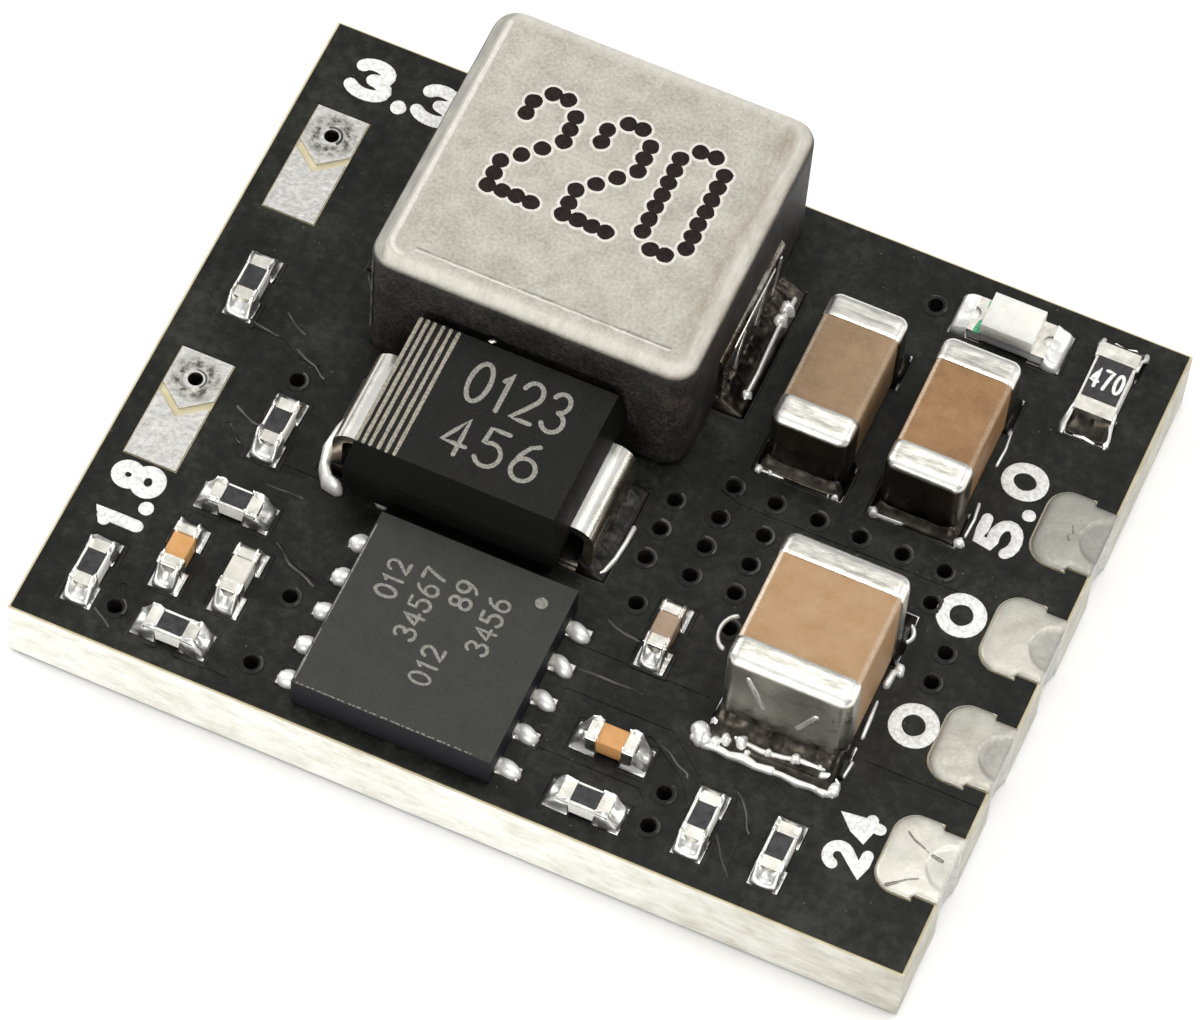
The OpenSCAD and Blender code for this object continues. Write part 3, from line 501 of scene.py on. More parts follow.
# Inks and marks: dark and light tint, size of the grain, specular level
INKS = {
    "white_ink": ((0.60, 0.60, 0.58), (0.86, 0.86, 0.84), 0.08, 0.35),
    "brown_ink": ((0.006, 0.004, 0.0035), (0.018, 0.012, 0.010), 0.08, 0.15),
    # The halo tint below also draws a painted highlight on the inductor's top ridge; the shade tint after
    # it is painted shade beside that ridge.
    "ink_halo_and_ridge_highlight": ((0.56, 0.54, 0.49), (0.66, 0.64, 0.59), 0.08, 0.35),
    "painted_shade_line": ((0.20, 0.195, 0.165), (0.32, 0.31, 0.27), 0.08, 0.35),
    "laser_mark": ((0.15, 0.145, 0.13), (0.30, 0.29, 0.26), 0.05, 0.35),
    # The faint tint below also draws a painted highlight along the controller's left edge.
    "faint_print_dust_and_highlight": ((0.13, 0.13, 0.115), (0.26, 0.26, 0.235), 0.05, 0.35),
    "stripe_mark": ((0.17, 0.155, 0.125), (0.36, 0.335, 0.27), 0.05, 0.35),
    "green_mark": ((0.05, 0.30, 0.14), (0.12, 0.55, 0.28), 0.05, 0.35),
}


def make_looks():
    look_mask("solder_mask")
    look_mask("painted_highlight_mask", 0.42)
    look_laminate()
    for name, values in METALS.items():
        look_metal(name, *values)
    look_metal("strap_tin", (0.16, 0.14, 0.12), (0.60, 0.56, 0.50), 0.16, 0.36, 0.012, 0.22,
               tarnish=(0.10, 0.065, 0.045))
    look_metal("lead_tin", (0.80, 0.78, 0.72), (0.97, 0.955, 0.90), 0.16, 0.28, 0.0015, 0.6,
               upright=(0.78, 0.68, 0.54), until=(0.40, 0.90))
    look_metal("end_tin", (0.66, 0.635, 0.56), (0.96, 0.94, 0.86), 0.24, 0.42, 0.010, 0.26,
               upright=(0.62, 0.60, 0.55))
    look_cap_end("cap_end_tin", (0.60, 0.58, 0.52), (0.065, 0.06, 0.05))
    look_cap_end("cap_end_deep_tin", (0.16, 0.13, 0.10), (0.035, 0.03, 0.026))
    look_edge_solder()
    look_selector()
    look_ferrite()
    look_epoxy("diode_epoxy", (0.004, 0.004, 0.0035), (0.013, 0.013, 0.011), (0.001, 0.001, 0.001),
               0.5, 0.7, 0.05, 0.004)
    look_epoxy("controller_epoxy", (0.032, 0.033, 0.030), (0.048, 0.048, 0.044), (0.006, 0.006, 0.008),
               0.55, 0.72, 0.04, 0.003)
    for name, values in CERAMICS.items():
        look_ceramic(name, *values)
    look_silicon()
    look_plain("alumina", (0.66, 0.65, 0.61), (0.86, 0.85, 0.82), 0.04, 0.4, 0.6, 0.003, detail=2)
    look_plain("resistor_coat", (0.012, 0.012, 0.014), (0.034, 0.033, 0.034), 0.14, 0.22, 0.42, 0.006)
    look_plain("enamelled_wire", (0.36, 0.13, 0.05), (0.62, 0.27, 0.11), 0.2, 0.28, 0.45, 0.004,
               stretch=(1, 1, 0.3), metallic=0.9)
    look_led_plastic("led_carrier", (0.80, 0.79, 0.73), (0.90, 0.89, 0.84), 0.4, 0.6)
    look_led_plastic("led_lens", (0.80, 0.79, 0.725), (0.87, 0.86, 0.80), 0.2, 0.4)
    for name, (dark, light, size, specular) in INKS.items():
        look_plain(name, dark, light, size, 0.45, 0.7, 0.004, rough=0.6, stops=(0.35, 0.6),
                   specular=specular)


# Which nodes of the part wear which look; the rest are the metal ends of small components
NODE_LOOKS = {
    "glass_laminate": ("board_laminate",),
    "solder_mask": ("solder_mask_top", "solder_mask_bottom"),
    "via_tin": ("via_barrels",),
    "pad_tin": ("input_pad", "ground_pad_front", "ground_pad_rear", "output_pad", "controller_leads",
                "controller_thermal_pad"),
    "plug_solder": ("edge_pad_solder",),
    "selector_tin": ("selector_front", "selector_rear"),
    "solder": ("component_lands", "solder_joints"),
    "pressed_core": ("inductor_body",),
    "enamelled_wire": ("inductor_winding",),
    "strap_tin": ("inductor_terminals",),
    "diode_epoxy": ("diode_body",),
    "lead_tin": ("diode_cathode_lead", "diode_anode_lead"),
    "silicon": ("diode_die", "controller_die"),
    "controller_epoxy": ("controller_body",),
    "ceramic_tan": ("input_capacitor_body",),
    "ceramic_grey": ("output_capacitor_1_body",),
    "ceramic_orange": ("output_capacitor_2_body",),
    "cap_end_deep_tin": ("output_capacitor_1_caps", "output_capacitor_2_caps"),
    "ceramic_small_orange": ("small_capacitor_1_body", "small_capacitor_4_body"),
    "ceramic_pale": ("small_capacitor_2_body",),
    "ceramic_beige": ("small_capacitor_3_body",),
    "alumina": ("led_resistor_body", *("resistor_%d_body" % i for i in range(1, 9))),
    "resistor_coat": ("resistor_coats", "led_resistor_coat"),
    "led_carrier": ("led_carrier",),
    "led_lens": ("led_lens",),
}
REST = "end_tin"


def dress_nodes():
    look_of = {node: look for look, nodes in NODE_LOOKS.items() for node in nodes}
    for name, node in NODES.items():
        node.data.materials.clear()
        node.data.materials.append(LOOKS[look_of.get(name, REST)])


# ---------- shared forms ----------

FLAT = Matrix.Identity(4)


def box_mm(node):
    """Low and high corner of a node's box, in millimetres."""
    return tuple(Vector(corner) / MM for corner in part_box(node))


def centre_size(node):
    """Middle and size of a node's box, in millimetres."""
    low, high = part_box(node)
    return (low + high) / 2 / MM, (high - low) / MM


def lengthways(size):
    """Length and width of a box, and the turn that its length takes from x."""
    return (size.y, size.x, 90) if size.y > size.x else (size.x, size.y, 0)


def on_board(x, y, *lift):
    """A place in millimetres from the board's front left corner, as a place in the frame."""
    low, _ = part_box("board_laminate")
    return (x + low.x / MM, y + low.y / MM, *lift)


def turned(x, y, turn):
    return Matrix.Translation((x, y, 0)) @ Matrix.Rotation(math.radians(turn), 4, "Z")


def on_side(x, y, z, turn=0):
    """A plane that stands upright and faces the front: its x is the board's, its y points up."""
    return (Matrix.Translation((x, y, z)) @ Matrix.Rotation(math.radians(turn), 4, "Z")
            @ Matrix.Rotation(math.pi / 2, 4, "X"))


def wobble(x, y, seed, size=0.2):
    """Smooth noise from about -1 to 1 at a place in millimetres."""
    return noise.noise(Vector((x / size, y / size, seed * 7.31)))


def arc(cx, cy, rx, ry, start, end, steps=12):
    """Points on an ellipse between two angles in degrees."""
    return [(cx + rx * math.cos(math.radians(start + (end - start) * k / steps)),
             cy + ry * math.sin(math.radians(start + (end - start) * k / steps))) for k in range(steps + 1)]


def between(a, b, steps):
    """Points on the line from a to b, without its ends."""
    return [(a[0] + (b[0] - a[0]) * k / steps, a[1] + (b[1] - a[1]) * k / steps) for k in range(1, steps)]


def straight(a, b, steps):
    return [a] + between(a, b, steps) + [b]


def rounded_ring(x0, x1, y0, y1, radius, corner_steps, side_steps):
    """Points round a rectangle with round corners; the four numbers place the corners' centres."""
    corners = [arc(x, y, radius, radius, start, start + 90, corner_steps)
               for x, y, start in ((x1, y1, 0), (x0, y1, 90), (x0, y0, 180), (x1, y0, 270))]
    ring = []
    for one, two in zip(corners, corners[1:] + corners[:1]):
        ring += one + between(one[-1], two[0], side_steps)
    return ring


def add_piece(name, bm, look, replaces=None):
    """Turns a bmesh in millimetres into a smooth piece that rides on the module."""
    mesh = bpy.data.meshes.new(name)
    bmesh.ops.scale(bm, vec=(MM, MM, MM), verts=bm.verts)
    bmesh.ops.recalc_face_normals(bm, faces=bm.faces)
    bm.to_mesh(mesh)
    bm.free()
    for face in mesh.polygons:
        face.use_smooth = True
    piece = add_object(name, mesh)
    mesh.materials.append(LOOKS[look])
    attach(piece, "root")
    if replaces:
        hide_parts(replaces)


def loft(bm, rings, closed=False, tip=None):
    """Skins a row of rings of points and closes its ends, the last one at the tip if there is one."""
    rings = [[bm.verts.new(point) for point in ring] for ring in rings]
    pairs = list(zip(rings, rings[1:])) + ([(rings[-1], rings[0])] if closed else [])
    for one, two in pairs:
        for k, vert in enumerate(one):
            after = (k + 1) % len(one)
            bm.faces.new((vert, one[after], two[after], two[k]))
    if closed:
        return
    bm.faces.new(rings[0][::-1])
    if tip is None:
        bm.faces.new(rings[-1])
        return
    top = bm.verts.new(tip)
    for k, vert in enumerate(rings[-1]):
        bm.faces.new((vert, rings[-1][(k + 1) % len(rings[-1])], top))


def dome(bm, rows, cols, half, corner, height, base, where):
    """A closed mound on a grid over a rectangle with rounded corners.

    half: half sizes; corner: 0 square to 1 round; height(x, y, u, v): top in millimetres;
    base: the level it stands on; where: the matrix that puts it on the board.
    """
    grid = []
    for j in range(rows + 1):
        line = []
        for i in range(cols + 1):
            u, v = 2 * i / cols - 1, 2 * j / rows - 1
            x = half[0] * u * math.sqrt(1 - corner * v * v / 2)
            y = half[1] * v * math.sqrt(1 - corner * u * u / 2)
            rim = i in (0, cols) or j in (0, rows)
            z = base if rim else height(x, y, u, v)
            line.append(bm.verts.new(where @ Vector((x, y, z))))
        grid.append(line)
    for j in range(rows):
        for i in range(cols):
            bm.faces.new((grid[j][i], grid[j][i + 1], grid[j + 1][i + 1], grid[j + 1][i]))
    right, left = [line[-1] for line in grid[1:-1]], [line[0] for line in grid[-2:0:-1]]
    edge = grid[0] + right + grid[-1][::-1] + left
    bm.faces.new(edge[::-1])


def islands(node):
    """Centre and size of each separate solid in a node, in millimetres, from left to right."""
    bm = bmesh.new()
    bm.from_mesh(NODES[node].data)
    bmesh.ops.remove_doubles(bm, verts=bm.verts, dist=1e-7)
    left, found = set(bm.verts), []
    while left:
        stack, island = [next(iter(left))], []
        left.discard(stack[0])
        while stack:
            vert = stack.pop()
            island.append(vert.co)
            for edge in vert.link_edges:
                other = edge.other_vert(vert)
                if other in left:
                    left.discard(other)
                    stack.append(other)
        low = Vector([min(co[i] for co in island) for i in range(3)]) / MM
        high = Vector([max(co[i] for co in island) for i in range(3)]) / MM
        found.append(((low + high) / 2, high - low))
    bm.free()
    return sorted(found, key=lambda item: (round(item[0].x, 3), round(item[0].y, 3)))


# A ribbon's section as shares of its width and height, and how its ends narrow
PROFILE = ((-0.5, 0.0), (-0.43, 0.55), (-0.22, 0.95), (0.0, 1.0), (0.22, 0.95), (0.43, 0.55), (0.5, 0.0))
TIP = ((0.24, 0.87), (0.42, 0.55), (0.5, 0.12))


def ribbon(bm, points, width, height, base, closed=False, vary=0.0, seed=0, where=FLAT):
    """A raised line with rounded flanks and ends along a path of (x, y) or (x, y, z) points.

    vary: how much its width and height change along it; where: the plane it lies on.
    """
    path = [Vector((q[0], q[1], base + (q[2] if len(q) > 2 else 0))) for q in points]
    last = len(path) - 1

    def direction(i):
        if closed:
            step = path[(i + 1) % len(path)] - path[i - 1]
        else:
            step = path[min(i + 1, last)] - path[max(i - 1, 0)]
        return Vector((step.x, step.y, 0)).normalized()

    def section(i, out=0.0, scale=1.0):
        """The line's section at a point, or off it by a share of the width."""
        along = direction(i)
        scale *= 1 + vary * wobble(path[i].x, path[i].y, seed, 0.3)
        across = Vector((-along.y, along.x, 0))
        centre = path[i] + along * (out * width)
        return [where @ (centre + across * (q * width * scale) + Vector((0, 0, h * height * scale)))
                for q, h in PROFILE]

    rings = [section(i) for i in range(len(path))]
    if not closed:
        start = [section(0, -out, scale) for out, scale in TIP[::-1]]
        end = [section(last, out, scale) for out, scale in TIP]
        rings = start + rings + end
    loft(bm, rings, closed)


# A drop's rings as shares of its radius and height
MOUND = ((1.0, 0.0), (0.96, 0.35), (0.82, 0.72), (0.55, 0.93), (0.25, 1.0))


def drop(bm, x, y, radius, height, base, seed=0, uneven=0.0, around=14, squeeze=1.0, turn=0.0):
    """A small closed mound: round, or oval where squeeze is under 1.

    uneven: how far its outline strays; around: points in each ring; turn: degrees.
    """
    c, s = math.cos(math.radians(turn)), math.sin(math.radians(turn))
    rings = []
    for share, rise in MOUND:
        ring = []
        for k in range(around):
            angle = 2 * math.pi * k / around
            r = radius * share * (1 + uneven * wobble(math.cos(angle) + x, math.sin(angle) + y, seed, 0.9))
            px, py = r * math.cos(angle), r * math.sin(angle) * squeeze
            ring.append((x + px * c - py * s, y + px * s + py * c, base + height * rise))
        rings.append(ring)
    loft(bm, rings, tip=(x, y, base + height))


# ---------- solder ----------

# Heights: faces of the mask and the lands, foot of the solder, and the level that parts stand on
MASK_Z = 1.60
LAND_Z = 1.61
FOOT_Z = LAND_Z - 0.012
SEAT_Z = 1.64
# How far solder reaches: beside a part, in under its end, past its land, off its end's face
LAND_SIDE = 0.1
LAND_LAP = 0.02
OVERLAP = 0.025
WALL_GAP = 0.02
# Side of the squares that pools are made of
CELL = 0.034


def pool(bm, where, inner, outer, side, wall, width, rise, sag, rim, seed, legs=0.0, lump=0.3, corner=0.10):
    """Solder from x = inner to x = outer, |y| under side: a hollow fillet against a wall that
    stands at x = wall, width to each side, and a rounded rim along its free edges.

    rise: height at the wall; sag: how hollow it is; rim: width and height of the rim;
    legs: extra height of the solder at the wall's two corners.
    """
    half = ((outer - inner) / 2, side)
    shift = (outer + inner) / 2
    rim_w, rim_h = rim

    def top(x, y, u, v):
        out = min(1.0, max(0.0, x + shift - wall) / (outer - wall))
        beside = max(0.0, abs(y) - width) / max(0.02, side - width)
        away = min(1.0, math.hypot(out, 0.8 * beside))
        climb = rise * (1 - away) ** sag
        near_corner = math.exp(-((abs(y) - width * 0.86) / (0.16 * width + 0.05)) ** 2)
        climb *= 1 + legs * (near_corner - 0.35)
        climb *= 1 + lump * wobble(x, y, seed, 0.26) + 0.4 * lump * wobble(x, y, seed + 5, 0.11)
        d = min((1 - abs(v)) * half[1], (1 - u) * half[0])
        edge = min(1.0, d / (rim_w * 0.45))
        bead = 0.0
        if d < rim_w:
            bead = rim_h * math.sqrt(max(0.0, 1 - (2 * d / rim_w - 1) ** 2))
            bead *= 0.75 + 0.55 * wobble(x, y, seed + 9, 0.33)
        return SEAT_Z - 0.02 + 0.03 * edge + max(0.0, climb) * edge + bead

    cols = max(8, int(2 * half[0] / CELL))
    rows = max(8, int(2 * half[1] / CELL))
    dome(bm, rows, cols, half, corner, top, FOOT_Z, where @ Matrix.Translation((shift, 0, 0)))


def both_pools(bm, node, cap, toe, rise, sag, rim, seed, legs=0.0, lump=0.3, corner=0.10, side=LAND_SIDE):
    """The two pools of a component, in the places of its lands.

    cap: length of a plated end; toe: how far a land reaches past it; the rest as for pool.
    """
    middle, size = centre_size(node)
    length, across, turn = lengthways(size)
    for k, flip in enumerate((0, 180)):
        pool(bm, turned(middle.x, middle.y, turn + flip), length / 2 - cap - LAND_LAP,
             length / 2 + toe + OVERLAP, across / 2 + side + OVERLAP, length / 2 + WALL_GAP, across / 2,
             rise, sag, rim, seed * 2 + k, legs, lump, corner)


def diode_pools(bm):
    """The pools at the diode's two leads, against the leads' outer faces."""
    middle, _ = centre_size("diode_body")
    for name in ("diode_anode_lead", "diode_cathode_lead"):
        centre, size = centre_size(name)
        turn = 0 if centre.x > middle.x else 180
        reach = abs(centre.x - middle.x) + size.x / 2
        pool(bm, turned(middle.x, middle.y, turn), reach - 0.3, reach + 0.3 + OVERLAP,
             size.y / 2 + LAND_SIDE + OVERLAP, reach, size.y / 2, 0.18, 1.3, (0.12, 0.03), 40 + turn, 0.3)


# Bright beads of solder beside the large parts, near-white as painted highlights: millimetres from the
# front left corner, radius, height
BEADS = (
    (5.33, 5.02, 0.17, 0.26), (9.60, 7.08, 0.07, 0.09), (15.52, 5.80, 0.13, 0.18),
    (11.45, 8.70, 0.08, 0.12), (11.68, 8.72, 0.06, 0.10), (13.00, 8.73, 0.07, 0.12),
    (12.86, 8.76, 0.06, 0.10), (13.78, 8.73, 0.11, 0.18), (15.50, 8.82, 0.11, 0.16),
    (10.58, 12.10, 0.17, 0.40), (10.56, 11.82, 0.15, 0.34), (10.62, 10.05, 0.13, 0.20),
    (12.72, 2.99, 0.20, 0.28), (12.84, 2.90, 0.15, 0.24), (12.90, 3.25, 0.13, 0.34),
    (13.04, 2.92, 0.13, 0.20), (13.49, 3.08, 0.13, 0.33), (14.53, 3.16, 0.12, 0.34),
    (15.40, 2.96, 0.12, 0.20), (13.20, 3.02, 0.13, 0.28), (13.66, 2.93, 0.08, 0.20),
    (14.02, 3.08, 0.08, 0.30), (15.0, 3.18, 0.08, 0.30),
)
# Bright threads of solder along the pools' rims, near-white as painted highlights, on the same measures:
# width, height, points. A third number lifts a point.
THREADS = (
    (0.16, 0.15, ((12.62, 2.88), (12.85, 2.82), (13.1, 2.84), (13.35, 2.80), (13.65, 2.84), (13.9, 2.80),
                  (14.2, 2.83))),
    (0.11, 0.13, ((14.1, 2.81), (14.4, 2.83), (14.7, 2.79), (15.0, 2.82), (15.25, 2.79))),
    (0.11, 0.15, ((15.1, 2.80), (15.32, 2.81), (15.44, 2.92), (15.43, 3.06, 0.04), (15.28, 3.13, 0.12),
                  (15.08, 3.06, 0.12))),
    (0.10, 0.13, ((13.35, 3.11, 0.12), (13.9, 3.06, 0.11), (14.3, 3.11, 0.12), (14.6, 3.17, 0.13),
                  (15.1, 3.17, 0.12))),
    (0.08, 0.08, ((15.44, 3.3), (15.47, 3.62))),
    (0.08, 0.09, ((15.44, 4.2), (15.42, 4.6), (15.40, 5.0))),
    (0.13, 0.14, ((15.42, 5.4), (15.44, 5.7))),
    (0.10, 0.12, arc(15.30, 6.56, 0.18, 0.20, -130, 130, 12)),
    (0.05, 0.06, ((11.42, 8.69), (11.8, 8.70), (12.3, 8.72), (12.6, 8.73))),
    (0.09, 0.10, ((13.75, 8.71), (14.2, 8.72), (14.8, 8.76), (15.57, 8.80))),
    (0.07, 0.08, ((15.54, 9.0), (15.56, 9.4), (15.52, 9.75))),
    (0.06, 0.07, ((15.50, 10.7), (15.52, 11.1), (15.48, 11.5))),
    (0.10, 0.10, ((9.62, 5.22, 0.04), (9.72, 5.35, 0.05), (9.80, 5.7, 0.05), (9.84, 6.1, 0.05),
                  (9.85, 6.47, 0.04))),
    (0.10, 0.12, ((10.62, 10.1, 0.08), (10.64, 10.5, 0.12), (10.62, 11.0, 0.13), (10.60, 11.6, 0.13),
                  (10.62, 12.4, 0.10))),
    (0.27, 0.40, ((4.12, 6.4), (4.06, 6.0), (4.03, 5.5), (4.08, 5.15), (4.26, 4.90), (4.46, 4.86))),
    (0.12, 0.20, ((5.28, 5.45), (5.31, 5.2))),
    (0.09, 0.07, arc(12.42, 5.21, 0.27, 0.38, 105, 258, 14)),
)


def build_large_solder():
    """Pools round the large parts in near-black solder as painted dark reflection, pools at the diode's
    leads as painted shade, and bright beads and threads along their rims as painted highlights.
    """
    dull, dark, bright = bmesh.new(), bmesh.new(), bmesh.new()
    both_pools(dull, "input_capacitor_body", 0.56, 0.60, 0.42, 1.6, (0.24, 0.06), 20, 0.2, lump=0.2)
    for i in (1, 2):
        both_pools(dull, "output_capacitor_%d_body" % i, 0.60, 0.22, 0.18, 1.2, (0.08, 0.03), 20 + i, 0.3)
    both_pools(dull, "inductor_terminals", 0.35, 0.52, 0.35, 1.4, (0.15, 0.03), 30, 0.2)
    diode_pools(dark)
    for index, (x, y, radius, height) in enumerate(BEADS):
        drop(bright, *on_board(x, y), radius, height, FOOT_Z, index, 0.45, 22)
    for index, (width, height, points) in enumerate(THREADS):
        ribbon(bright, [on_board(*q) for q in points], width, height, FOOT_Z, vary=0.4, seed=index)
    add_piece("solder_fillets", dull, "solder_painted_dark", "solder_joints")
    add_piece("diode_fillets", dark, "solder_painted_shade")
    add_piece("solder_rim_highlights", bright, "solder_white_sheen")


# Small parts: nodes, how many, how high solder climbs them, first seed
SMALL_PARTS = (("resistor_%d_body", 8, 0.26, 1), ("small_capacitor_%d_body", 4, 0.34, 11))


def build_small_solder():
    bm = bmesh.new()
    for nodes, count, rise, seed in SMALL_PARTS:
        for i in range(count):
            both_pools(bm, nodes % (i + 1), 0.24, 0.27, rise, 1.2, (0.12, 0.05), seed + i, 0.9,
                       corner=0.25, side=0.02)
    add_piece("small_solder", bm, "bright_solder")


def build_led_resistor_solder():
    """Hollows at the two ends in near-black solder as painted shade, with a bright leg at each corner and a
    bright line at each toe.
    """
    hollow, legs = bmesh.new(), bmesh.new()
    both_pools(hollow, "led_resistor_body", 0.32, 0.33, 0.30, 1.3, (0.06, 0.02), 24, 0.2, 0.4, 0.2, 0.03)
    middle, size = centre_size("led_resistor_caps")
    top = middle.z + size.z / 2
    for sign in (1, -1):
        for side in (1, -1):
            x, y = middle.x + side * size.x / 2, middle.y + sign * size.y / 2
            run = 0.30 + 0.05 * wobble(side, sign, 3, 0.7)
            leg = [(x - side * 0.03, y - sign * 0.25, top - 0.16), (x, y, top - 0.22),
                   (x + side * 0.05, y + sign * 0.6 * run, LAND_Z + 0.05),
                   (x + side * 0.04, y + sign * run, LAND_Z)]
            ribbon(legs, leg, 0.15, 0.09, 0, vary=0.5, seed=sign + side)
        toe = [(middle.x + shift, middle.y + sign * (size.y / 2 + out))
               for shift, out in ((-0.2, 0.32), (0, 0.30), (0.22, 0.33))]
        ribbon(legs, toe, 0.06, 0.07, LAND_Z - 0.01, vary=0.8, seed=sign)
    add_piece("led_resistor_hollows", hollow, "solder_painted_dark")
    add_piece("led_resistor_fillets", legs, "bright_solder")


LEAD_PITCH = 0.8
LEAD_ROWS = 5
# The right and the left row of leads: side, how far out, length, squeeze, tilt
LEAD_BEADS = ((1, 0.21, 0.28, 0.58, -16), (-1, 0.22, 0.235, 0.80, 14))


def build_bead_solder():
    """Pools and notch fillers of the LED, and a bead at each of the controller's leads."""
    bm = bmesh.new()
    both_pools(bm, "led_carrier", 0.0, 0.35, 0.22, 0.7, (0.14, 0.05), 23, 0.2, 0.25, 0.3, 0.06)
    middle, size = centre_size("led_contacts")
    for sign in (1, -1):
        drop(bm, middle.x + sign * (size.x / 2 - 0.02), middle.y, 0.2, size.z - 0.03, SEAT_Z, sign, 0.12)
    middle, size = centre_size("controller_body")
    for side, out, length, squeeze, tilt in LEAD_BEADS:
        for i in range(LEAD_ROWS):
            seed = i + side * 3.7
            x = middle.x + side * (size.x / 2 + out)
            y = middle.y + (i - (LEAD_ROWS - 1) / 2) * LEAD_PITCH + 0.03 * wobble(seed, 1, 2)
            drop(bm, x, y, length, 0.23, FOOT_Z, seed, 0.13, 24, squeeze, tilt + 14 * wobble(seed, 0, 1))
    add_piece("bead_solder", bm, "solder_white_sheen")


# How far the lips reach outward, their height, and the limits of the narrow and the short lands
LIP_OUT = 0.055
LIP_H = 0.028
NARROW_LAND = 0.45
SHORT_LAND = 1.3


def build_mask_lips():
    """The mask's raised edge round each land; at small parts it laps over the land's sides."""
    bm = bmesh.new()
    for index, (centre, size) in enumerate(islands("component_lands")):
        length, width, turn = lengthways(size)
        if width < NARROW_LAND:
            over_side, over_end = 0.02, 0.02
        elif length < SHORT_LAND:
            over_side, over_end = 0.075, 0.03
        else:
            over_side, over_end = 0.03, 0.02
        where = turned(centre.x, centre.y, turn)
        for sign in (1, -1):
            for crosswise, over, out, run in ((True, over_side, length, width),
                                              (False, over_end, width, length)):
                lip = LIP_OUT + over
                at = sign * (out / 2 + LIP_OUT - lip / 2)
                line = [(at, share * run) if crosswise else (share * run, at) for share in (-0.5, 0, 0.5)]
                ribbon(bm, line, lip, LIP_H, LAND_Z - 0.02, where=where, vary=0.2, seed=index)
    add_piece("mask_lips", bm, "solder_mask")


# ---------- large capacitors ----------

# Capacitor: look of its ceramic, look of its ends, how round its ends are
LARGE_CAPACITORS = {
    "input_capacitor": ("ceramic_tan", "cap_end_tin", 0.24),
    "output_capacitor_1": ("ceramic_grey", "cap_end_deep_tin", 0.22),
    "output_capacitor_2": ("ceramic_orange", "cap_end_deep_tin", 0.22),
}
# Thickness of the plating over the ceramic, and how round the ceramic's long edges are
PLATE = 0.03
CERAMIC_ROUND = 0.14


def loaf(bm, start, end, half, low, high, radius, where, domed=True, rim=0.0, dip=0.0):
    """A block along x with rounded long edges; its far end is rounded too where it is domed.

    rim: height of a lip at its start; dip: how hollow its top is.
    """
    straight = end - start - (radius if domed else 0.0)
    steps = max(2, int(straight / 0.08))
    stations = [(start, 0.03), (start, 0.008), (start + 0.01, 0.0)]
    for k in range(1, steps):
        x = start + straight * k / steps
        stations.append((x, -rim * math.exp(-((x - start - 0.05) / 0.035) ** 2)))
    if domed:
        for k in range(9):
            angle = math.radians(90 * k / 8)
            stations.append((end - radius + radius * math.sin(angle), radius * (1 - math.cos(angle))))
    else:
        stations.append((end, 0.0))
    rings = []
    for x, inset in stations:
        r = max(radius - inset, 0.006)
        y = half - inset - r
        share = min(1.0, max(0.0, (x - start) / (end - start)))
        ring = []
        for y, z in rounded_ring(-y, y, low + inset + r, high - inset - r, r, 6, 10):
            near_top = min(1.0, max(0.0, (z - high + 0.08) / 0.08))
            sink = dip * near_top * math.sin(math.pi * share) * (1 - (y / half) ** 6)
            ring.append(where @ Vector((x, y, z - sink)))
        rings.append(ring)
    loft(bm, rings)


def build_large_capacitors():
    """The three large capacitors with rounded plated ends, in their solids' places."""
    for name, (ceramic, end, radius) in LARGE_CAPACITORS.items():
        low, high = box_mm(name + "_caps")
        bare = min(size.y for _, size in islands(name + "_caps"))
        middle = (low + high) / 2
        half, reach = (high.x - low.x) / 2, (high.y - low.y) / 2
        bm = bmesh.new()
        for turn in (90, -90):
            where = turned(middle.x, middle.y, turn)
            loaf(bm, reach - bare, reach, half, low.z, high.z, radius, where, rim=0.012, dip=0.015)
        add_piece(name + "_ends", bm, end, name + "_caps")
        bm = bmesh.new()
        inside = reach - bare + 0.2
        loaf(bm, -inside, inside, half - PLATE, low.z + PLATE, high.z - PLATE, CERAMIC_ROUND,
             turned(middle.x, middle.y, 90), domed=False)
        add_piece(name + "_ceramic", bm, ceramic, name + "_body")


# ---------- inductor ----------

# Radius of the core's upright corners, and depth of its top bevel
CORE_CORNER = 0.5
CORE_BEVEL = 0.22


def build_inductor_core():
    """The pressed core with softly bevelled top edges that run round its corners."""
    low, high = box_mm("inductor_body")
    middle = (low + high) / 2
    half = ((high.x - low.x) / 2, (high.y - low.y) / 2)
    stations = [(low.z, 0.03), (low.z + 0.03, 0.0)]
    stations += [(low.z + 0.03 + (high.z - CORE_BEVEL - low.z - 0.06) * k / 12, 0.0) for k in range(1, 13)]
    first, last = math.radians(15), math.radians(75)
    for k in range(1, 7):
        turn = math.radians(15 + 60 * k / 6)
        stations.append((high.z - CORE_BEVEL * (1 - math.sin(turn)) / (1 - math.sin(first)),
                         CORE_BEVEL * (1 - math.cos(turn)) / (1 - math.cos(last))))
    stations += [(high.z, CORE_BEVEL + flat) for flat in (0.03, 0.3, 1.2)]
    rings = []
    for z, inset in stations:
        r = max(CORE_CORNER - inset, 0.12)
        x, y = half[0] - inset - r, half[1] - inset - r
        ring = rounded_ring(-x, x, -y, y, r, 10, 24)
        rings.append([(middle.x + px, middle.y + py, z) for px, py in ring])
    bm = bmesh.new()
    loft(bm, rings)
    add_piece("inductor_core", bm, "pressed_core", "inductor_body")


# ---------- edge pads ----------

PAD_CORNER = 0.45
NECK_LENGTH = 0.5
NECK_STEP = 0.12
# Radius of the half holes in the board's edge
HALF_HOLE = 0.5
# Sizes of a dome's rings as shares of the pad's outline
PAD_RINGS = (1.0, 0.985, 0.95, 0.9, 0.84, 0.76, 0.66, 0.55, 0.44, 0.33, 0.22, 0.11)
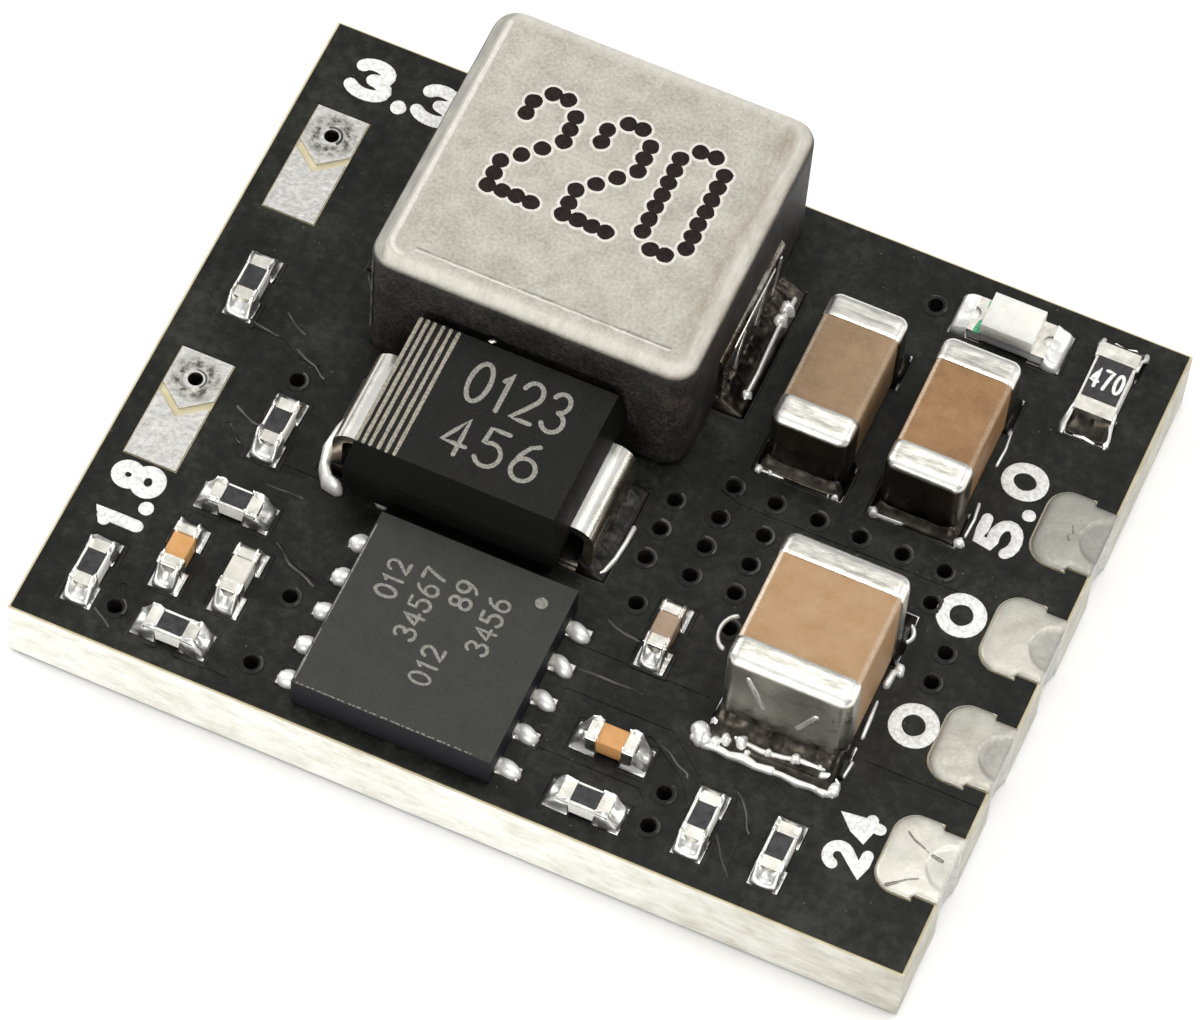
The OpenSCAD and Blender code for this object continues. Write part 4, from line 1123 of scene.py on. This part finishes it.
# Creases on the input pad, drawn as darker lines of painted shade, and a smudge on the output pad:
# millimetres from the front left corner
PAD_CREASES = (
    ((16.98, 2.72), (17.12, 2.62), (17.3, 2.55), (17.5, 2.46), (17.75, 2.42)),
    ((17.0, 1.55), (17.15, 1.66), (17.32, 1.80), (17.5, 1.90)),
    ((17.30, 10.05), (17.38, 9.90), (17.30, 9.80), (17.36, 9.72)),
    ((17.48, 9.72), (17.52, 9.60)),
)


def pad_outline(inner, edge, middle, half):
    """Points round a pad: round corners on the inside, and a narrower neck at the board's edge."""
    neck = edge - NECK_LENGTH
    side = [(edge, half - NECK_STEP), (neck + 0.06, half - NECK_STEP), (neck, half - 0.03),
            (neck - 0.06, half)]
    side += arc(inner + PAD_CORNER, half - PAD_CORNER, PAD_CORNER, PAD_CORNER, 90, 180, 10)
    outline = [(x, middle + y) for x, y in side] + [(x, middle - y) for x, y in side[::-1]]
    fine = []
    for one, two in zip(outline, outline[1:] + outline[:1]):
        steps = max(1, int(math.hypot(two[0] - one[0], two[1] - one[1]) / 0.06))
        fine += [one] + between(one, two, steps)
    return fine


def pad_rise(x, y, share, edge, middle, seed):
    """Height of the solder over a pad at a place; share: 1 at the rim to 0 at the centre."""
    rise = 0.055 * (1 - share ** 12) ** 0.6 + 0.015 * (1 - share ** 2)
    rise *= 1 + 0.16 * wobble(x, y, seed, 0.6) + 0.08 * wobble(x, y, seed + 4, 0.22)
    if seed == 0:
        rise *= 1 + 0.35 * wobble(x + y, (x - y) * 0.3, 11, 0.3)
    from_hole = math.hypot(x - edge, y - middle)
    sunk = 1 / (1 + math.exp((from_hole - HALF_HOLE) / 0.02))
    ridge = 0.010 * math.exp(-((from_hole - HALF_HOLE) / 0.035) ** 2)
    return rise * (1 - 0.30 * sunk) + ridge


def build_edge_pads():
    """Domed solder on the four castellated pads, with a dull half disc over each half hole."""
    bm = bmesh.new()
    for seed, name in enumerate(("input_pad", "ground_pad_front", "ground_pad_rear", "output_pad")):
        low, high = box_mm(name)
        middle = (low.y + high.y) / 2
        outline = pad_outline(low.x, high.x, middle, (high.y - low.y) / 2)
        centre = Vector(((low.x + high.x) / 2 + 0.1, middle))
        rings = []
        for share in PAD_RINGS:
            ring = []
            for x, y in outline:
                px, py = centre.x + (x - centre.x) * share, centre.y + (y - centre.y) * share
                level = FOOT_Z if share == 1.0 else LAND_Z + pad_rise(px, py, share, high.x, middle, seed)
                ring.append((px, py, level))
            rings.append(ring)
        loft(bm, rings, tip=(centre.x, centre.y, LAND_Z + 0.068))
    add_piece("edge_pad_domes", bm, "edge_solder")

    bm = bmesh.new()
    level = box_mm("input_pad")[1].z + 0.052
    for index, points in enumerate(PAD_CREASES):
        ribbon(bm, [on_board(*q) for q in points], 0.075, 0.018, level, vary=0.6, seed=index)
    add_piece("edge_pad_creases", bm, "crease_shade_and_smudge")


# ---------- relief of the mask ----------

# Ridges where the mask rises over copper edges, lightened as painted highlights: millimetres from the front
# left corner
RIDGES = (
    ((3.02, 9.50), (3.3, 9.0), (3.55, 8.4), (3.75, 8.2)),
    ((1.98, 8.05), (2.2, 7.9), (2.47, 7.75)),
    ((1.4, 7.6), (1.7, 7.55), (2.02, 7.5)),
    ((2.47, 7.36), (2.96, 7.2), (3.2, 7.0)),
    ((2.02, 5.33), (2.2, 5.2), (2.37, 5.04)),
    ((3.26, 4.44), (3.6, 4.43), (3.95, 4.44)),
    ((3.95, 3.36), (4.35, 3.06), (4.6, 2.95), (4.94, 2.81)),
    ((1.38, 0.74), (1.65, 0.55), (1.88, 0.4)),
    ((2.0, 5.75), (2.4, 5.55), (2.9, 5.5)),
    ((12.15, 2.47), (12.5, 2.3), (12.84, 2.07)),
    ((13.82, 2.17), (14.1, 1.85), (14.32, 1.48)),
    ((13.78, 1.18), (14.05, 0.8), (14.32, 0.49)),
    ((10.1, 3.3), (10.8, 3.32), (11.4, 3.3)),
    ((16.9, 9.3), (16.95, 9.8), (16.9, 10.4)),
    ((10.2, 4.5), (10.6, 4.35), (11.1, 4.3)),
    ((10.3, 9.6), (10.5, 10.3), (10.45, 11.2)),
)


def wandering(points, seed, pieces=6):
    """A wandering line through some points."""
    line = []
    for one, two in zip(points, points[1:]):
        for x, y in [one] + between(one, two, pieces):
            drift = 0.05 * wobble(x, y, seed, 0.4)
            line.append((x + drift, y + 0.6 * drift))
    return line + [points[-1]]


def build_relief():
    """Lips round the vias and ridges on the mask, lightened as painted highlights."""
    bm = bmesh.new()
    for index, (centre, size) in enumerate(islands("via_barrels")):
        radius = size.x / 2 + 0.015 + 0.02 * wobble(index, 0.9, 5, 0.7)
        start = -35 + 50 * wobble(index, 0.3, 1, 0.7)
        sweep = 120 + 70 * wobble(index, 0.7, 2, 0.7)
        points = arc(centre.x, centre.y, radius, radius, start, start + sweep, 12)
        ribbon(bm, points, 0.05 + 0.02 * wobble(index, 0, 3, 0.7), 0.03, MASK_Z, vary=0.6, seed=index)
    for index, points in enumerate(RIDGES):
        line = wandering([on_board(*q) for q in points], index)
        ribbon(bm, line, 0.045, 0.020, MASK_Z - 0.005, vary=0.7, seed=index)
    add_piece("mask_relief", bm, "painted_highlight_mask")


# ---------- markings: plain figures only ----------

# Plain figures as strokes in a box one wide and one high: (points, closed)
FIGURES = {
    "0": [(arc(0.5, 0.5, 0.5, 0.5, 0, 345, 23), True)],
    "1": [([(0.15, 0.76), (0.55, 1.0), (0.55, 0.5), (0.55, 0.0)], False)],
    "2": [(arc(0.5, 0.72, 0.48, 0.28, 165, -38) + [(0.45, 0.27), (0.0, 0.0), (0.5, 0.0), (1.0, 0.0)],
           False)],
    "3": [(arc(0.45, 0.76, 0.43, 0.24, 155, -80), False), (arc(0.45, 0.26, 0.52, 0.26, 82, -155), False)],
    "4": [([(0.72, 0.0), (0.72, 0.5), (0.72, 1.0), (0.35, 0.62), (0.0, 0.28), (0.5, 0.28), (1.0, 0.28)],
           False)],
    "5": [([(0.92, 1.0), (0.5, 1.0), (0.14, 1.0), (0.08, 0.58)] + arc(0.45, 0.32, 0.53, 0.32, 118, -150),
           False)],
    "6": [(arc(0.5, 0.3, 0.5, 0.3, 0, 345, 23), True),
          ([(0.02, 0.34), (0.14, 0.64), (0.4, 0.9), (0.72, 1.0)], False)],
    "7": [([(0.0, 1.0), (0.5, 1.0), (1.0, 1.0), (0.6, 0.5), (0.34, 0.0)], False)],
    "8": [(arc(0.5, 0.76, 0.40, 0.24, 0, 345, 23), True), (arc(0.5, 0.26, 0.5, 0.26, 0, 345, 23), True)],
    "9": [(arc(0.5, 0.7, 0.5, 0.3, 0, 345, 23), True),
          ([(0.98, 0.66), (0.86, 0.36), (0.6, 0.1), (0.28, 0.0)], False)],
}
# Widths of narrow figures as shares of a full one
NARROW = {"1": 0.6, ".": 0.0}


def figures(bm, text, at, size, gap, stroke, thick, base, turn=0.0, vary=0.10):
    """Writes figures centred on a place; size is a figure's width and height with its stroke."""
    wide, high = size[0] - stroke, size[1] - stroke
    widths = [wide * NARROW.get(c, 1.0) for c in text]
    place = turned(*at, turn)
    x = -(sum(widths) + (gap + stroke) * (len(text) - 1)) / 2
    for index, (c, width) in enumerate(zip(text, widths)):
        if c == ".":
            spot = place @ Vector((x, -high / 2, 0))
            drop(bm, spot.x, spot.y, stroke * 0.55, thick, base, index, 0.1)
        for points, closed in FIGURES.get(c, ()):
            moved = [place @ Vector((x + px * width, (py - 0.5) * high, 0)) for px, py in points]
            ribbon(bm, [(q.x, q.y) for q in moved], stroke, thick, base, closed, vary, index + at[0])
        x += width + gap + stroke


# Figures beside the board's pads: text, place, size, gap, stroke, turn
BOARD_FIGURES = (
    ("3.3", (1.9, 13.6), (0.98, 1.02), 0.07, 0.30, 0),
    ("1.8", (1.0, 3.08), (0.74, 1.1), 0.02, 0.28, 90),
    ("5.0", (16.12, 9.95), (0.86, 0.94), 0.10, 0.25, 90),
    ("0", (16.12, 7.4), (0.98, 0.98), 0, 0.27, 90),
    ("0", (16.2, 4.85), (0.98, 0.98), 0, 0.27, 90),
    ("24", (16.12, 2.12), (0.66, 0.94), 0.06, 0.24, 90),
)


def build_board_marks():
    bm = bmesh.new()
    for text, at, size, gap, stroke, turn in BOARD_FIGURES:
        figures(bm, text, on_board(*at), size, gap, stroke, 0.022, MASK_Z - 0.004, turn)
    add_piece("board_figures", bm, "white_ink")


# Printed dots of the figures, from the top row down
DOT_FIGURES = {
    "2": (".##.", "#..#", "#..#", "...#", "..#.", ".#..", "#...", "#...", "####"),
    "0": (".##.", "#..#", "#..#", "#..#", "#..#", "#..#", "#..#", "#..#", ".##."),
}
DOT_PITCH = (0.295, 0.30)
DOT_RADIUS = 0.176
# Left edges and lower edge of the figures, from the board's front left corner
DOT_LEFTS = (4.98, 6.52, 8.02)
DOT_LOW = 10.35


def build_inductor_marks():
    """An inkjet value on the inductor's lacquered top: dots, each with a pale halo."""
    top = box_mm("inductor_body")[1].z - 0.001
    dots, halos = bmesh.new(), bmesh.new()
    for figure, left in zip("220", DOT_LEFTS):
        rows = DOT_FIGURES[figure]
        for j, row in enumerate(rows):
            for i, mark in enumerate(row):
                if mark != "#":
                    continue
                seed = left * 10 + j * 5 + i
                x, y = on_board(left + i * DOT_PITCH[0] + 0.02 * wobble(seed, 1, 1),
                                DOT_LOW + (len(rows) - 1 - j) * DOT_PITCH[1] + 0.02 * wobble(seed, 2, 2))
                drop(dots, x, y, DOT_RADIUS * (1 + 0.08 * wobble(seed, 3, 3)), 0.014, top, seed, 0.12)
                drop(halos, x, y, DOT_RADIUS + 0.055, 0.005, top, seed, 0.10)
    add_piece("inductor_value_dots", dots, "brown_ink")
    add_piece("inductor_value_halos", halos, "ink_halo_and_ridge_highlight")


# Middles of the cathode stripes, and how far the diode's ends lean in
STRIPE_PLACES = (4.85, 4.99, 5.13, 5.30, 5.46, 5.62)
DIODE_DRAFT = 0.16
# Figures on the diode: text, place, size, gap, stroke
DIODE_FIGURES = (
    ("0123", (7.2, 6.9), (0.50, 0.98), 0.08, 0.105),
    ("456", (7.2, 5.68), (0.56, 0.92), 0.14, 0.10),
)


def build_diode_marks():
    low, high = box_mm("diode_body")
    top = high.z - 0.003
    front, rear = low.y + DIODE_DRAFT + 0.04, high.y - DIODE_DRAFT - 0.04
    bm = bmesh.new()
    for index, x in enumerate(STRIPE_PLACES):
        px, _ = on_board(x, 0)
        ribbon(bm, straight((px, front), (px, rear), 24), 0.082, 0.010, top, vary=0.25, seed=index)
    add_piece("diode_stripes", bm, "stripe_mark")
    bm = bmesh.new()
    for text, at, size, gap, stroke in DIODE_FIGURES:
        figures(bm, text, on_board(*at), size, gap, stroke, 0.009, top)
    add_piece("diode_figures", bm, "laser_mark")


# Figures on the controller, which read upward: text, place
CONTROLLER_ROWS = (("012", 6.37, 3.16), ("34567", 7.06, 2.89), ("89", 7.72, 3.4), ("012", 7.7, 1.75),
                   ("3456", 8.39, 2.99))


def build_controller_marks():
    """Lasered figures, the round mark at the first lead and a painted highlight line along the left edge.
    """
    low, high = box_mm("controller_body")
    top = high.z - 0.003
    bm = bmesh.new()
    for text, x, y in CONTROLLER_ROWS:
        figures(bm, text, on_board(x, y), (0.30, 0.48), 0.035, 0.075, 0.007, top, 90, 0.3)
    add_piece("controller_figures", bm, "faint_print_dust_and_highlight")
    bm = bmesh.new()
    drop(bm, *on_board(9.08, 3.86), 0.13, 0.008, top, 3, 0.1, 18)
    # painted highlight along the left edge of the top
    x, _ = on_board(5.63, 0)
    edge_highlight = straight((x, low.y + 0.1), (x, low.y + 3.7), 18)
    ribbon(bm, edge_highlight, 0.045, 0.02, top - 0.012, vary=0.5, seed=4)
    add_piece("controller_dot_and_highlight_line", bm, "faint_print_dust_and_highlight")


def build_led_marks():
    x = box_mm("led_lens")[0].x - 0.04
    low, high = box_mm("led_carrier")
    level = box_mm("led_contacts")[1].z - 0.006
    bm = bmesh.new()
    front = [(x - 0.03, low.y + 0.05), (x, low.y + 0.16), (x + 0.02, low.y + 0.26)]
    ribbon(bm, front, 0.15, 0.02, level, vary=0.5, seed=2)
    ribbon(bm, [(x + 0.01, high.y - 0.16), (x + 0.01, high.y - 0.05)], 0.10, 0.02, level, vary=0.5)
    add_piece("led_green_marks", bm, "green_mark")
    bm = bmesh.new()
    middle, _ = centre_size("led_resistor_coat")
    top = box_mm("led_resistor_coat")[1].z - 0.003
    figures(bm, "470", (middle.x, middle.y), (0.215, 0.50), 0.02, 0.075, 0.012, top)
    add_piece("led_resistor_figures", bm, "white_ink")


# ---------- small details ----------


def build_diode_stub():
    """The cut end of the lead frame at the top of the diode's rear face."""
    high = box_mm("diode_body")[1]
    bm = bmesh.new()
    x, _ = on_board(6.25, 0)
    drop(bm, x, high.y - 0.08, 0.10, 0.09, high.z - 0.07, 5, 0.25, 12, 0.6, 30)
    add_piece("diode_frame_stub", bm, "lead_tin")


def build_resistor_rims():
    """Bare ceramic beside the small resistors' coats."""
    bm = bmesh.new()
    for index, (centre, size) in enumerate(islands("resistor_coats")):
        length, across, turn = lengthways(size)
        where = turned(centre.x, centre.y, turn)
        top = centre.z + size.z / 2 - 0.012
        for sign in (1, -1):
            y = sign * (across / 2 + 0.012)
            line = [(-length / 2 + 0.03, y), (0, y), (length / 2 - 0.03, y)]
            ribbon(bm, line, 0.055, 0.02, top, where=where, vary=0.3, seed=index)
    add_piece("resistor_rims", bm, "alumina")


def build_inductor_light_and_shade():
    """Painted highlights on a ridge inside the top's left edge and a line inside its front edge, a painted
    shade line beside the front one, and a painted highlight down their corner.
    """
    low, high = box_mm("inductor_body")
    inset, radius, top = 0.33, 0.30, high.z - 0.003
    x0, x1, y0, y1 = low.x + inset, high.x - inset, low.y + inset, high.y - inset
    bm = bmesh.new()
    # painted highlights: the ridge inside the left edge and a line inside the front edge
    left = straight((x0, y1 - 0.1), (x0, y0 + radius), 30)
    left += arc(x0 + radius, y0 + radius, radius, radius, 186, 270, 8)
    ribbon(bm, left, 0.11, 0.014, top, vary=0.2, seed=4)
    front = [(x0 + radius + 0.2 + (x1 - x0 - radius - 0.5) * k / 40,
              y0 + 0.18 + 0.015 * wobble(k, 0, 3, 1.3)) for k in range(41)]
    ribbon(bm, front, 0.04, 0.006, top, vary=0.9, seed=3)
    add_piece("inductor_top_ridge", bm, "ink_halo_and_ridge_highlight")
    # painted shade beside the front line
    bm = bmesh.new()
    ribbon(bm, [(x, y + 0.05) for x, y in front], 0.045, 0.006, top, vary=0.9, seed=5)
    add_piece("inductor_top_shade_line", bm, "painted_shade_line")
    # painted highlight down the front left corner
    bm = bmesh.new()
    side = on_side(low.x + 0.13, low.y + 0.13, 0, -45)
    line = [(0.01 * wobble(k, 0, 6), low.z + 0.55 + k * 0.2) for k in range(12)]
    ribbon(bm, line, 0.05, 0.03, -0.012, vary=0.5, seed=6, where=side)
    add_piece("inductor_corner_highlight", bm, "painted_highlight_mask")


# Painted highlights on upright faces, drawn as bright streaks: (millimetres along the board, height)
STRAP_HIGHLIGHTS = (
    ((12.42, 2.92), (12.36, 2.7), (12.24, 2.3), (12.14, 2.05)),
    ((11.72, 2.9), (11.5, 2.5), (11.3, 2.2)),
    ((10.7, 2.75), (10.45, 2.4), (10.3, 2.1)),
    ((12.1, 2.94), (11.2, 2.95), (10.2, 2.93)),
)
CAPACITOR_HIGHLIGHTS = (
    ((13.36, 3.55), (13.42, 3.38), (13.52, 3.18), (13.60, 2.95), (13.70, 2.74)),
    ((14.41, 2.52), (14.50, 2.70), (14.60, 2.92), (14.72, 3.16)),
)


def build_strap_highlights():
    # painted highlights on the inductor's right strap
    face = on_side(box_mm("inductor_terminals")[1].x, 0, 0, 90)
    bm = bmesh.new()
    for points in STRAP_HIGHLIGHTS:
        line = [(on_board(0, y)[1], z) for y, z in points]
        ribbon(bm, line, 0.10, 0.03, -0.01, vary=0.5, seed=points[0][0], where=face)
    add_piece("inductor_strap_highlights", bm, "bright_solder")


def build_controller_dust():
    """A row of pale specks along the front edge of the controller's top."""
    low, high = box_mm("controller_body")
    bm = bmesh.new()
    for index in range(34):
        x = low.x + 0.08 + (high.x - low.x - 0.5) * (index + 0.45 * wobble(index, 1, 8, 0.7)) / 33
        y = low.y + 0.03 + 0.012 * wobble(index, 2, 9, 0.7)
        run = 0.02 + 0.10 * abs(wobble(index, 3, 7, 0.7))
        speck = [(x, y), (x + run, y + 0.01 * wobble(index, 4, 5, 0.7))]
        ribbon(bm, speck, 0.03 + 0.02 * wobble(index, 5, 6, 0.7), 0.008, high.z - 0.004)
    add_piece("controller_edge_dust", bm, "faint_print_dust_and_highlight")


def build_capacitor_highlights():
    # painted highlights on the input capacitor's front end
    face = on_side(0, box_mm("input_capacitor_body")[0].y - 0.03, 0)
    bm = bmesh.new()
    for points in CAPACITOR_HIGHLIGHTS:
        line = [(on_board(x, 0)[0], z) for x, z in points]
        ribbon(bm, line, 0.13, 0.035, -0.012, vary=0.3, seed=points[0][1], where=face)
    add_piece("input_capacitor_highlights", bm, "bright_solder")


# ---------- finish ----------


def main():
    make_stage()
    make_looks()
    dress_nodes()
    build_large_solder()
    build_small_solder()
    build_led_resistor_solder()
    build_bead_solder()
    build_mask_lips()
    build_large_capacitors()
    build_inductor_core()
    build_edge_pads()
    build_relief()
    build_board_marks()
    build_inductor_marks()
    build_diode_marks()
    build_controller_marks()
    build_led_marks()
    build_diode_stub()
    build_resistor_rims()
    build_inductor_light_and_shade()
    build_strap_highlights()
    build_controller_dust()
    build_capacitor_highlights()


main()
